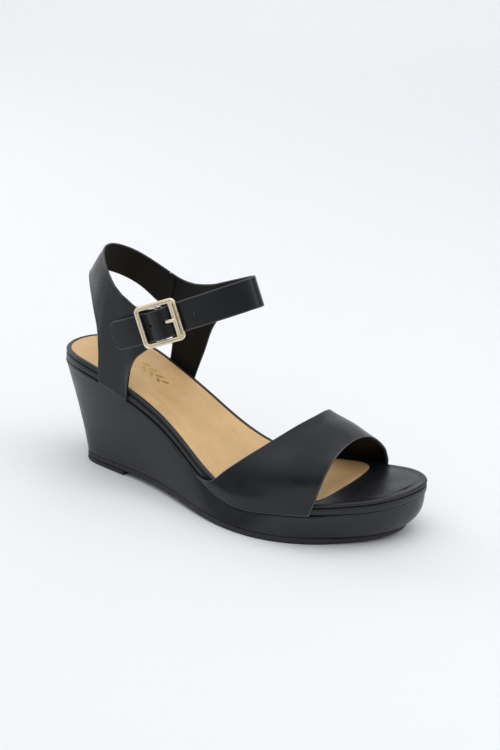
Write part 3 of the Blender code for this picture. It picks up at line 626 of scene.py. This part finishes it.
def build_wedge():
    """The leather cover round the wedge, with rounded upper and lower edges."""
    lip, foot_round = 0.7, 0.25
    *below, head = [wall_ring(s) for s in np.linspace(0, 1, 27)]
    top = head[:, 2]
    below[0][:, 2] += foot_round
    for ring in below[-2:]:
        ring[:, 2] = np.minimum(ring[:, 2], top - lip)
    rounded = [at_height(wall_ring(1.0, lip * (1 - cos(turn))), top - lip + lip * sin(turn))
               for turn in np.linspace(0, pi / 2, 6)]
    flange = [at_height(wall_ring(1.0, WRAP + 2.2), top - drop) for drop in (0.05, 0.85)]
    inner = [wall_ring(s, WRAP) for s in (0.97, 0.5, 0.03, 0.0)]
    rings = [wall_ring(0.0, foot_round)] + below + rounded + flange + inner
    show(hoop("wedge_cover", rings, WRAP_LEATHER), "sandal", "wrap", "wedge_wrap")


def build_outsole():
    """Thin rubber sole with a rounded lower edge."""
    def ring(margin, share):
        flat = inset(BOTTOM, margin)
        low, high = np.maximum(tread_height(flat[:, 0]), 0), wedge_under(BOTTOM[:, 0]) - 0.15
        return at_height(flat, low + (high - low) * share)
    rings = [ring(0.75, 0.999), ring(0.3, 0.96), ring(0.12, 0.88), ring(0.1, 0.5), ring(0.14, 0.22),
             ring(0.32, 0.08), ring(0.75, 0.0)]
    show(capped("outsole_rubber", rings, RUBBER, level, 15), "sandal", "rubber", "outsole")


def build_heel_lift():
    """Rubber piece under the heel, with a straight front."""
    def clipped(run):
        behind = run[run[:, 0] < HEEL_LIFT_FRONT]
        ahead = run[len(behind)]
        share = (HEEL_LIFT_FRONT - behind[-1][0]) / (ahead[0] - behind[-1][0])
        return np.vstack([behind, behind[-1] + (ahead - behind[-1]) * share])

    def ring(margin, z):
        loop = inset(BOTTOM, margin)
        half = len(loop) // 2
        outer = even(clipped(loop[:half]), 60)
        inner = even(clipped(np.vstack([loop[:1], loop[:half:-1]])), 60)
        flat = np.vstack([outer, inner[:0:-1]])
        return at_height(flat, np.full(len(flat), z))

    rings = [ring(0.45, HEEL_LIFT_HEIGHT), ring(0.12, HEEL_LIFT_HEIGHT - 0.25), ring(0.1, 1.2),
             ring(0.18, 0.5), ring(0.4, 0.15), ring(0.8, 0.0)]
    show(capped("heel_lift", rings, RUBBER, level, 9), "sandal", "rubber", "heel_top_piece")


def build_rim():
    """Lower band of the insole's edge: a covered welt with a softly rounded face."""
    drops = np.linspace(0, pi, 11)
    face = [rim_ring(1.0 - 0.35 * sin(t), ROLL_HEIGHT + 0.25 + (RIM_HEIGHT - ROLL_HEIGHT - 0.5)
                     * (1 - cos(t)) / 2) for t in drops]
    inner = [rim_ring(3.4, RIM_HEIGHT - 0.3), rim_ring(3.4, ROLL_HEIGHT + 0.3)]
    show(hoop("insole_welt", face + inner, WRAP_LEATHER), "sandal", "wrap", "insole_rand")


def sunk(x):
    """How far the cover lies below the rim's top: deeper under the sock, nearly level at the toe."""
    under_sock, at_toe = 0.9, 0.35
    return under_sock - (under_sock - at_toe) * smoothstep(198.5, 201.5, x)


def build_footbed():
    """Padded cover with its rolled edge; the sock lies in it and the toe shows in front."""
    def ring(distance, share):
        flat = inset(INSOLE, distance)
        return at_height(flat, rim_top(flat[:, 0]) - sunk(flat[:, 0]) * share)

    under = [rim_ring(2.2, ROLL_HEIGHT), rim_ring(1.1, ROLL_HEIGHT - 0.05)]
    roll = [rim_ring(1.9 - 1.25 * sin(t), 1.3 + 1.3 * cos(t))
            for t in np.linspace(0.35, pi, 12)]
    slope = [ring(2.4, 0.02), ring(2.9, 0.12), ring(3.4, 0.4), ring(3.9, 0.75), ring(4.6, 0.95),
             ring(6.0, 1.0)]

    def crown(grid, share):
        ahead = smoothstep(199, 215, grid[:, :, 0])
        return 0.5 * ahead * np.sin(pi * share) ** 0.7

    piece = capped("footbed_cover", under + roll + slope, INSOLE_LEATHER, crown, 41)
    show(piece, "sandal", "outer_leather", "insole_cover")


def sock_outline(extra):
    """The insole's edge inset, ending in a gently curved front with rounded corners."""
    loop = inset(spline(INSOLE_EDGE, 48, closed=True), SOCK_INSET)
    outer = [tuple(p) for p in loop[:24] if p[0] < 188]
    inner = [tuple(p) for p in loop[24:] if p[0] < 184]
    whole = spline(outer + SOCK_FRONT + inner, AROUND, closed=True)
    return inset(whole, extra)


DISH_DEPTH = 0.6
# The worn line along the sock, seen from above
SOCK_CREASE = [(48, -11.8), (66, -11.6), (82, -12.8), (100, -17), (119, -23), (135, -28)]
FOIL_LEAVES, LEAF_LEAN = 7, 42  # how many, and their angle to the stem in degrees
ABOVE_SOCK = 100.0  # height from which the leaves are dropped on it


def build_sock():
    """Tan leather sock with a thin rounded edge and a slight dish along the middle."""
    def ring(extra, above):
        flat = sock_outline(extra)
        return at_height(flat, rim_top(flat[:, 0]) + above)

    rings = [ring(0.25, -0.8), ring(0.0, -0.6), ring(0.0, -0.42), ring(0.12, -0.26), ring(0.4, -0.16),
             ring(1.2, -0.1), ring(3.0, -0.06)]

    def dish(grid, share):
        x = grid[:, :, 0]
        heel_cup = (1 - smoothstep(45, 90, x)) * smoothstep(4, 24, x)
        ball = smoothstep(125, 150, x) * (1 - smoothstep(172, 195, x))
        beside = grid[:, :, 1] - np.interp(x, *zip(*SOCK_CREASE))
        along = smoothstep(48, 62, x) * (1 - smoothstep(112, 135, x))
        crease = along * (0.4 * np.exp(-(beside / 2.2) ** 2) - 0.55 * np.exp(-((beside + 3.4) / 1.9) ** 2))
        return crease - DISH_DEPTH * (heel_cup + ball) * np.sin(pi * share) ** 2

    piece = capped("sock", rings, SOCK, dish, 61)
    show(piece, "sandal", "sock", "sock_lining")
    build_foil(piece)


def build_foil(sock):
    """A sprig of gold foil leaves pressed on the sock under the heel, a plain ornament."""
    data = sock.data
    surface = BVHTree.FromPolygons([v.co for v in data.vertices], [p.vertices[:] for p in data.polygons])

    def on_sock(x, y, lift):
        hit = surface.ray_cast(Vector(to_world((x, y, ABOVE_SOCK))), Vector((0, 0, -1)))[0]
        return x, y, hit.z / MM + lift

    start, end = np.array([47.0, 4.0]), np.array([70.0, -0.6])
    along = unit(end - start)
    for k in range(FOIL_LEAVES):
        root = start + (end - start) * (0.06 + 0.13 * k)
        edge = leaf_outline(root, along, LEAF_LEAN * (-1 if k % 2 else 1), 6.4 - 0.3 * k, 1.05)
        points = [on_sock(x, y, lift) for lift in (-0.1, 0.06) for x, y in edge]
        faces = ring_faces(len(edge), 2, False) + end_faces(len(edge), 2)
        show(add_mesh(f"foil_leaf_{k + 1}", points, faces, FOIL, sharp=30), "sandal", "gold")


def leaf_outline(root, along, lean, length, half):
    """Plan outline of a leaf that leans away from its stem's direction."""
    lean = radians(lean)
    ahead = along * cos(lean) + np.array([-along[1], along[0]]) * sin(lean)
    beside = np.array([-ahead[1], ahead[0]])
    turns = np.linspace(0, pi, 9)
    return [root + ahead * length * (1 - cos(t)) / 2 + side * beside * half * sin(t)
            for side, run in ((1, turns), (-1, turns[-2:0:-1])) for t in run]


# ---------------- toe band

def lined(name, grid, cad_node):
    """A piece of outer leather and the slightly smaller lining behind it."""
    show(panel(name, grid, OUTER_LOW, OUTER_HIGH, UPPER), "sandal", "outer_leather", cad_node)
    show(panel(name + "_lining", trimmed(grid, 0.7), LINING_LOW, LINING_HIGH, LINING),
         "sandal", "lining", cad_node + "_lining")


def rim_side(x, side):
    """Point of the uppers' reference surface beside the rim, on the outer (-1) or inner (1) side."""
    loop = inset(INSOLE, -UPPER_OFFSET)
    part = loop[(loop[:, 1] * side) >= 0]
    part = part[np.argsort(part[:, 0])]
    return np.array([x, np.interp(x, part[:, 0], part[:, 1]), float(rim_top(x)) - RIM_HEIGHT + 0.4])


def above_rim(x, side):
    """Point level with the top of the rim, just outside it."""
    place = rim_side(x, side)
    return np.array([x, place[1], float(rim_top(x)) + 0.8])


VAMP_BACK = ([(137.5, -38.9, 29.3), (148, -36, 39), (164, -26, 52.6), (173.5, -14, 60.8),
              (179.8, -3, 65.5)],
             [(179.8, -3, 65.5), (179.5, 5, 65.2), (175.5, 16, 59.5), (166, 26.5, 49), (150, 33.4, 35.5),
              (138, 35.3, 28)])
VAMP_FRONT = ([(204.2, -40.6, 37), (206.8, -36.8, 48), (208, -26, 56.3), (208.6, -12, 59.2)],
              [(208.6, -12, 59.2), (208.6, 0, 57.6), (208, 12, 52.6), (206.8, 23, 45.6),
               (205, 33, 37.5)])


def patch(back, front, outer, inner):
    """Surface between four edges: straight across the band, bent along its feet to follow the rim."""
    u = np.linspace(0, 1, len(back))[:, None, None]
    v = np.linspace(0, 1, len(outer))[None, :, None]
    across = back[:, None] * (1 - v) + front[:, None] * v
    outer_bend = outer[None] - across[:1]
    inner_bend = inner[None] - across[-1:]
    return across + outer_bend * (1 - u) ** 3 + inner_bend * u ** 3


def build_toe_band():
    """Wide band over the toes, tucked in beside the insole at both feet."""
    half_rows, columns, foot_rows = 60, 45, 8
    back = joined(([above_rim(133, -1)] + VAMP_BACK[0], half_rows),
                  (VAMP_BACK[1] + [above_rim(131, 1)], half_rows))
    front = joined(([above_rim(201, -1)] + VAMP_FRONT[0], half_rows),
                   (VAMP_FRONT[1] + [above_rim(203, 1)], half_rows))
    outer = np.array([above_rim(x, -1) for x in np.linspace(133, 201, columns)])
    inner = np.array([above_rim(x, 1) for x in np.linspace(131, 203, columns)])
    arch = patch(back, front, outer, inner)
    u = np.linspace(0, pi, len(arch))[:, None, None]
    v = np.linspace(0, pi, columns)[None, :, None]
    arch -= grid_normals(arch) * VAMP_BULGE * np.sin(u) * np.sin(v)
    outer_foot = np.array([rim_side(x, -1) for x in np.linspace(119, 198.7, columns)])
    inner_foot = np.array([rim_side(x, 1) for x in np.linspace(128.5, 201.7, columns)])
    grid = with_feet(arch, outer_foot, inner_foot, foot_rows)[:, ::-1]
    lined("toe_band", grid, "vamp")


def with_feet(arch, outer_foot, inner_foot, foot_rows):
    """Adds the feet below an arch and rounds the bend between them."""
    columns = []
    for j in range(arch.shape[1]):
        knots = np.vstack([outer_foot[j], arch[0:13:6, j], arch[18:-18:8, j], arch[-13::6, j],
                           inner_foot[j]])
        columns.append(spline(knots, len(arch) + 2 * foot_rows))
    return np.array(columns).transpose(1, 0, 2)


# ---------------- quarters, heel band and strap

# Shares along the heel band's lower edge and along its upper edge that lie above each other
HEEL_BAND_PAIRS = [(0, 0), (0.2, 0.05), (0.39, 0.175), (0.53, 0.345), (0.63, 0.49), (0.73, 0.62),
                   (0.81, 0.735), (0.895, 0.86), (1, 1)]
QUARTER_ROWS = 26
TAIL_PLAN = [(103.5, -33.3), (98.5, -34.2), (93, -34.6), (87.6, -34.7)]  # the strap's free end, to its tip


def outer_quarter():
    """Grid of the outer quarter, from the end of its wing, over the stem, to the end of the heel band."""
    wing_low, wing_high = from_buckle(2.4, -6.3, -9.3), from_buckle(2.4, -6.3, 9.2)
    stem_front, stem_back = rim_side(62.5, -1), rim_side(42.5, -1)
    steps = (40, 14, 90)
    lower = joined(
        ([wing_low, from_buckle(-5.5, -6.15, -10), (76.5, -28.6, 88.8), (70.7, -30.6, 83.3),
          (66, -31.2, 75.5), (64, -31, 66.5), stem_front], steps[0]),
        ([stem_front, stem_back], steps[1]),
        ([stem_back, (41.9, -30.2, 70), (41.6, -30.2, 84), (40, -29, 93), (36.2, -27, 101.7),
          (30, -21.8, 110), (20.5, -12, 117.5), (14.5, 0, 118.5), (17, 12, 115), (22, 20, 110.8),
          (30, 25.5, 105.2), (40.7, 28.6, 97)], steps[2]))
    upper = joined(
        ([wing_high, from_buckle(-5.5, -6.15, 9.4), (68.5, -28.5, 112.8), (62, -29.8, 116.8),
          (58, -30.4, 119.3)], steps[0]),
        ([(58, -30.4, 119.3), (52, -29.5, 123.6)], steps[1]),
        ([(52, -29.5, 123.6), (45, -26, 129), (36, -18, 134.4), (29.5, -9, 137), (26.8, 1, 136.8),
          (28.5, 10, 134), (33.5, 19, 129), (41.5, 25.8, 122.5), (50.6, 28.8, 117.1)], steps[2]))
    band = sum(steps[:2])
    level_shares = np.interp(np.linspace(0, 1, steps[2] + 1), *zip(*HEEL_BAND_PAIRS))
    upper[band:] = at_shares(upper[band:], level_shares)
    swell = np.interp(np.arange(len(lower)), [steps[0], band, sum(steps)], [0, 0.8, 0.4])
    return eased(ruled(lower, upper, QUARTER_ROWS, swell), 25)


def inner_quarter():
    """Grid of the inner quarter, from the heel band over the stem to the strap."""
    stem_back, stem_front = rim_side(53, 1), rim_side(71.5, 1)
    lower = joined(
        ([(40.95, 28.7, 96.8), (49, 29.3, 87.5), (53.6, 28.9, 78), (54.3, 28.3, 69), stem_back], 36),
        ([stem_back, stem_front], 12),
        ([stem_front, (76, 27.5, 66), (79.6, 27, 76), (83, 26, 85.5), (88.5, 24, 94.6),
          (96, 21.3, 102.8)], 40))
    upper = joined(
        ([(50.85, 28.85, 117.0), (58.6, 29.4, 114.2), (64, 28.7, 113.7)], 36),
        ([(64, 28.7, 113.7), (70, 27.4, 114)], 12),
        ([(70, 27.4, 114), (77.5, 25.4, 115.7), (88, 21.9, 119)], 40))
    return ruled(lower, upper, QUARTER_ROWS)


def build_quarters():
    """Outer quarter with the heel band in one, inner quarter, and the patch over their join."""
    outer, inner = outer_quarter(), inner_quarter()
    lined("outer_quarter", outer, "lateral_quarter")
    lined("inner_quarter", inner, "medial_quarter")
    join = np.concatenate([outer[-13:-1], inner[1:13]])[:, :-2]
    inside = LINING_LOW - 0.15
    show(panel("seam_patch_leather", join, inside - 0.6, inside, LINING), "sandal", "lining",
         "seam_patch")


def strap_path():
    """Middle of the strap seen along its axis, from the inner join to the hinge of its free end."""
    local = [(22, -2.6), (15, -3.1), (12, -3.5), (9.6, -3.4), (7.3, -2.0), (5.0, 0.0), (2.7, 1.25),
             (0, 1.5), (-3.0, 0.75), (-5.6, -0.9), (-7.8, -2.3), (-10.2, -2.85), (HINGE_S, REAR_N)]
    before = [(129.5, 20.2), (140, 17.1), (153, 13.0), (163, 9.3), (169, 5.2), (171.4, -0.5),
              (169, -6.0), (163, -10.2), (153, -14.9)]
    return before + [plan(s, n) for s, n in local]


def band_grid(path, middles, halves, columns):
    """Grid across a band: its columns run from the upper to the lower edge."""
    across = np.linspace(1, -1, columns)
    return np.array([[from_strap(a, y, middle + share * half) for share in across]
                     for (a, y), middle, half in zip(path, middles, halves)])


def build_strap():
    """One strap from the inner quarter through the buckle to its rounded tip."""
    corner, bend_half = 5.0, 3.0  # the tip's corner radius, and half the stretch that bends
    main = spline(strap_path(), 230)
    tail = spline([plan(HINGE_S, REAR_N)] + TAIL_PLAN, 200)
    length = np.linalg.norm(np.diff(tail, axis=0), axis=1).sum()
    round_tip = corner * (1 - np.sin(np.linspace(0, pi / 2, 12)))
    from_tip = np.concatenate([np.linspace(length, corner, 26)[1:], round_tip[1:]])
    end = at_shares(tail, 1 - from_tip / length)
    path = np.vstack([main, end])
    share = np.linspace(0, 0.8, len(main))
    halves = np.interp(share, [0, 0.35, 0.7, 1], [STRAP_HALF[k] for k in ("join", "bend", "buckle", "tail")])
    end_half = np.interp(from_tip, [0, length], [STRAP_HALF["tail"], halves[-1]])
    rounding = corner - np.sqrt(corner ** 2 - np.maximum(corner - from_tip, 0) ** 2)
    middles = STRAP_MID_W + np.interp(share, *zip(*STRAP_DRIFT))
    end_middles = np.full(len(end), middles[-1])
    grid = band_grid(path, np.concatenate([middles, end_middles]),
                     np.concatenate([halves, end_half - rounding]), 19)
    for name, low, high, look, slot, worn, nodes, shape in (
            ("ankle_strap_leather", OUTER_LOW, OUTER_HIGH, UPPER, "outer_leather", 1.8,
             ("ankle_strap", "strap_tail"), grid),
            ("ankle_strap_backing", LINING_LOW, LINING_HIGH, LINING, "lining", 2.4,
             ("ankle_strap_lining", "strap_tail_lining"), trimmed(grid, 0.5))):
        piece = panel(name, shape, low, high, look)
        cut_holes(piece, [hole_cutter(step, worn) for step in (-1, 0, 1, 2)])
        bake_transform(piece)
        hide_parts(*nodes)


def hole_cutter(step, worn):
    """Pin through the strap. The hole in use leans with the prong, and worn is half its length."""
    long, wide, lean, middle_n, ends = SPARE_HOLE_RADIUS, SPARE_HOLE_RADIUS, 0.0, 0.0, (-7, 7)
    if step == 0:
        long, wide, lean, middle_n, ends = worn, 1.32, 0.85, 0.75, (-1.6, 3.6)
    middle_s = HOLE_S + step * HOLE_PITCH
    angles = full_turn(28) + 0.05
    rings = [np.array([from_buckle(middle_s + (n - middle_n) * lean + long * cos(t), n,
                                   HOLE_W + wide * sin(t)) for t in angles]) for n in ends]
    return capped("hole", rings, LINING, level, 2)


# ---------------- buckle

def tube(name, rings, look):
    """A solid through rings of buckle points (s, n, w), closed by a face at each end."""
    points = [from_buckle(*p) for ring in rings for p in ring]
    faces = ring_faces(len(rings[0]), len(rings), False) + end_faces(len(rings[0]), len(rings))
    return add_mesh(name, points, faces, look, sharp=45)


def rounded_rectangle(back, front, half_w, radius):
    """Rectangle with round corners in the frame's plane, as (s, w) points."""
    points = []
    for quarter in range(4):
        middle_s = front - radius if quarter in (0, 3) else back + radius
        middle_w = half_w - radius if quarter in (0, 1) else radius - half_w
        for t in np.linspace(0, pi / 2, 15) + quarter * pi / 2:
            points.append((middle_s + radius * cos(t), middle_w + radius * sin(t)))
    return np.array(points)


# Across the rail from its outer edge (0) to its inner one (1), and up (1) or down (-1): two unequal ridges
RAIL_SECTION = [(0, 0.1), (0.04, 0.55), (0.14, 0.9), (0.27, 1.0), (0.40, 0.88), (0.49, 0.5), (0.545, 0.0),
                (0.60, -0.05), (0.645, 0.35), (0.72, 0.74), (0.82, 0.82), (0.93, 0.62), (0.99, 0.25),
                (1, -0.35), (0.92, -0.85), (0.75, -1.0), (0.25, -1.0), (0.08, -0.85), (0, -0.4)]


def build_frame():
    """Rectangular frame with a double ridge, its two bars and the collars beside the roller."""
    outer = rounded_rectangle(FRAME_BACK, FRAME_FRONT, FRAME_HALF_W, OUTER_CORNER)
    inner = rounded_rectangle(FRAME_BACK + RAIL_WIDTH, FRAME_FRONT - FRONT_RAIL_WIDTH,
                              FRAME_HALF_W - RAIL_WIDTH, INNER_CORNER)
    rings = [np.array([from_buckle(s, RAIL_HALF_DEPTH * high, w) for s, w in outer + (inner - outer) * share])
             for share, high in spline(RAIL_SECTION, 64, closed=True)]
    show(hoop("buckle_rails", rings, GOLD), "buckle", "gold", "buckle_frame")
    end = FRAME_HALF_W - RAIL_WIDTH / 2 - 0.1
    leg = [(0, -0.2, end), (0, -0.7, end), (0, LUG - BAR_DROP, end)]
    leg += [(0, LUG - BAR_DROP - LUG * sin(t), end - LUG + LUG * cos(t))
            for t in np.linspace(0.2, pi / 2, 7)]
    bar = leg + [(s, n, -w) for s, n, w in reversed(leg)]
    show(tube("buckle_centre_bar", round_rings(bar, BAR_RADIUS), GOLD), "buckle", "gold")
    front = [(FRONT_BAR_S, 0, w) for w in np.linspace(end, -end, 5)]
    show(tube("buckle_front_bar", round_rings(front, FRONT_BAR_RADIUS), GOLD), "buckle", "gold")
    for side in (-1, 1):
        collar = [(FRONT_BAR_S, 0, side * w) for w in (ROLLER_HALF + 0.15, ROLLER_HALF + 0.6, end - 0.3)]
        name = "buckle_collar_" + ("upper" if side > 0 else "lower")
        show(tube(name, round_rings(collar, ROLLER_RADIUS - 0.1), GOLD), "buckle", "gold")


def round_rings(stations, radius):
    """Round rings whose centres are (s, n, w) points on a path in the plane of n and w."""
    stations = np.array(stations, float)
    ahead = unit(np.gradient(stations, axis=0))
    return [[(s + radius * cos(t), n - dw * radius * sin(t), w + dn * radius * sin(t))
             for t in full_turn(24)]
            for (s, n, w), (_, dn, dw) in zip(stations, ahead)]


def build_roller():
    """Sleeve that turns on the frame's front bar, with the seam of its rolled sheet."""
    half, radius, bore, round_off = ROLLER_HALF, ROLLER_RADIUS, ROLLER_BORE, 0.15
    angles = full_turn(48)
    section = [(bore, -half), (radius - round_off, -half), (radius, round_off - half), (radius, 0),
               (radius, half - round_off), (radius - round_off, half), (bore, half), (bore, 0)]
    seam = 0.1 * np.exp(-((angles - pi) / 0.07) ** 2)
    rings = [[from_buckle(FRONT_BAR_S + (r - dip) * cos(t), (r - dip) * sin(t), w)
              for t, dip in zip(angles, seam)] for r, w in section]
    show(hoop("roller_sleeve", [np.array(r) for r in rings], GOLD), "roller", "gold", "buckle_roller")


def build_prong():
    """Pin with an eye round the centre bar, a grooved back and a rounded, slightly flattened tip."""
    eye = BAR_RADIUS + 0.25 + PRONG_RADIUS
    path = [(eye * sin(t), -BAR_DROP + eye * cos(t)) for t in np.radians(np.linspace(-255, 15, 28))]
    path += [(2.5, -0.75), (3.9, 0.4), (5.2, 1.55), (6.8, 2.4), (8.8, 2.65), (10.8, 2.5)]
    smooth = spline(path, 110)
    ahead = unit(np.gradient(smooth, axis=0))
    left = np.linalg.norm(smooth - smooth[-1], axis=1)
    rings = []
    for (s, n), (ds, dn), rest in zip(smooth, ahead, left):
        size = PRONG_RADIUS * sqrt(max(1 - (1 - min(rest / 0.9, 1)) ** 2, 0.02))
        groove = 0.3 * smoothstep(1.0, 2.0, rest) * (1 - smoothstep(4.5, 5.5, rest))
        ring = []
        for t in full_turn(28):
            out = size * cos(t)
            if cos(t) > 0:
                out -= groove * exp(-(sin(t) / 0.3) ** 2)
            ring.append((s - dn * out, n + ds * out, HOLE_W + PRONG_FLATTENING * size * sin(t)))
        rings.append(ring)
    show(tube("prong", rings, GOLD), "prong", "gold", "buckle_prong")


def build_tab():
    """Leather loop round the centre bar, its two legs on the two sides of the wing."""
    thick = 0.8
    loop = BAR_RADIUS + 0.3 + thick / 2
    path = [(-15.5, -4.15), (-12, -4.15), (-8, -4.15), (-5.2, -3.95), (-3.2, -2.3)]
    path += [(loop * sin(t), -BAR_DROP + loop * cos(t))
             for t in np.radians(np.linspace(-30, 190, 9))]
    path += [(-3.0, -5.1), (-5.6, -7.7), (-9, -8.2), (-13, -8.5)]
    smooth = spline(path, 120)
    across = np.linspace(-5.5, 5.5, 15)
    grid = np.array([[from_buckle(s, n, w) for w in across] for s, n in smooth])
    piece = panel("buckle_loop", grid, -thick / 2, thick / 2, UPPER)
    outline = [(-3.4, -5.6), (4, -5.6), (4, 1), (-3.4, 1)]
    slot = tube("slot", [[(s, n, w) for s, n in outline] for w in (HOLE_W - 1.4, HOLE_W + 1.4)], LINING)
    cut_holes(piece, [slot])
    show(piece, "sandal", "outer_leather", "buckle_tab")


# ---------------- camera, light and floor

AZIMUTH, ELEVATION, ROLL = (radians(angle) for angle in (32.38, 20.0, 2.436))
CAMERA_PLACE, LENS = (0.5452, -0.9219, 0.4764), 95.9
# The paper, in metres: its front edge, where it starts to bend up, the bend's radius, its top and half width
PAPER_FRONT, PAPER_BACK, PAPER_BEND, PAPER_TOP, PAPER_HALF_WIDTH = -6.0, 1.6, 0.9, 3.0, 4
DIM_SIDE, BRIGHT_TOP = (0.05, 0.053, 0.058), (0.79, 0.81, 0.835)  # surround at eye level and overhead


def build_camera():
    """Camera at the photograph's viewing angle."""
    data = bpy.data.cameras.new("camera")
    data.lens = LENS
    camera = placed("camera", data)
    place = Matrix.Rotation(AZIMUTH, 4, "Z") @ Matrix.Rotation(pi / 2 - ELEVATION, 4, "X")
    place = place @ Matrix.Rotation(ROLL, 4, "Z")
    place.translation = CAMERA_PLACE
    camera.matrix_world = place
    bpy.context.scene.camera = camera


def area_light(name, place, target, size, power):
    """White rectangular soft box, in metres and watts."""
    data = bpy.data.lights.new(name, "AREA")
    data.shape = "RECTANGLE"
    data.size, data.size_y = size
    data.energy = power
    lamp = placed(name, data)
    lamp.location = place
    lamp.rotation_euler = (Vector(target) - Vector(place)).to_track_quat("-Z", "Y").to_euler()


def build_surround():
    """World that is dim at eye level and bright overhead."""
    world = bpy.data.worlds.new("studio")
    bpy.context.scene.world = world
    world.use_nodes = True
    tree = world.node_tree
    axes = node(tree, "ShaderNodeSeparateXYZ")
    link(tree, node(tree, "ShaderNodeTexCoord"), "Generated", axes, "Vector")
    height_share = mapped(tree, axes, "Z", 0.1, 0.5, 0.0, 1.0)
    sky = mixed_colour(tree, height_share, "Result", DIM_SIDE, BRIGHT_TOP)
    link(tree, sky, MIX_OUT, tree.nodes["Background"], "Color")


def build_studio():
    """Soft boxes and a pale paper floor that curves up behind the shoe."""
    bpy.context.scene.view_settings.view_transform = "Standard"
    away = Vector((-sin(AZIMUTH), cos(AZIMUTH), 0))
    area_light("top_box", (0.15, -0.05, 1.3), (-0.05, 0, 0.03), (1.2, 1.0), 5.0)
    area_light("left_box", (-1.3, 0.1, 0.65), (-0.02, -0.02, 0.05), (0.6, 0.6), 3.2)
    area_light("right_box", (1.1, 0.35, 0.8), (0, 0, 0.05), (0.7, 0.7), 2.4)
    area_light("backdrop_box", tuple(away * 2.0 + Vector((0, 0, 1.4))), tuple(away * 2.2), (2.4, 0.5), 7)
    profile = [(PAPER_FRONT, 0.0), (PAPER_BACK, 0.0)]
    profile += [(PAPER_BACK + PAPER_BEND * sin(t), PAPER_BEND * (1 - cos(t)))
                for t in np.linspace(0, pi / 2, 24)[1:]]
    profile.append((PAPER_BACK + PAPER_BEND, PAPER_TOP))
    side = Vector((away.y, -away.x, 0)) * PAPER_HALF_WIDTH
    mesh = bpy.data.meshes.new("floor")
    points = [away * d + side * end + Vector((0, 0, z)) for d, z in profile for end in (-1, 1)]
    faces = [(2 * k, 2 * k + 1, 2 * k + 3, 2 * k + 2) for k in range(len(profile) - 1)]
    mesh.from_pydata(points, [], faces)
    mesh.shade_smooth()
    paper, _, shader, _ = start_material("studio_paper", 0.9)
    shader.inputs["Base Color"].default_value = (0.87, 0.875, 0.885, 1)
    mesh.materials.append(paper)
    placed("floor", mesh)


def main():
    for build in (build_camera, build_surround, build_studio, build_wedge, build_outsole, build_heel_lift,
                  build_rim, build_footbed, build_sock, build_toe_band, build_quarters, build_strap,
                  build_frame, build_roller, build_prong, build_tab):
        build()
    for name, look in HIDDEN.items():
        cad = frame["nodes"][name]
        cad.data.materials.clear()
        cad.data.materials.append(look)


main()
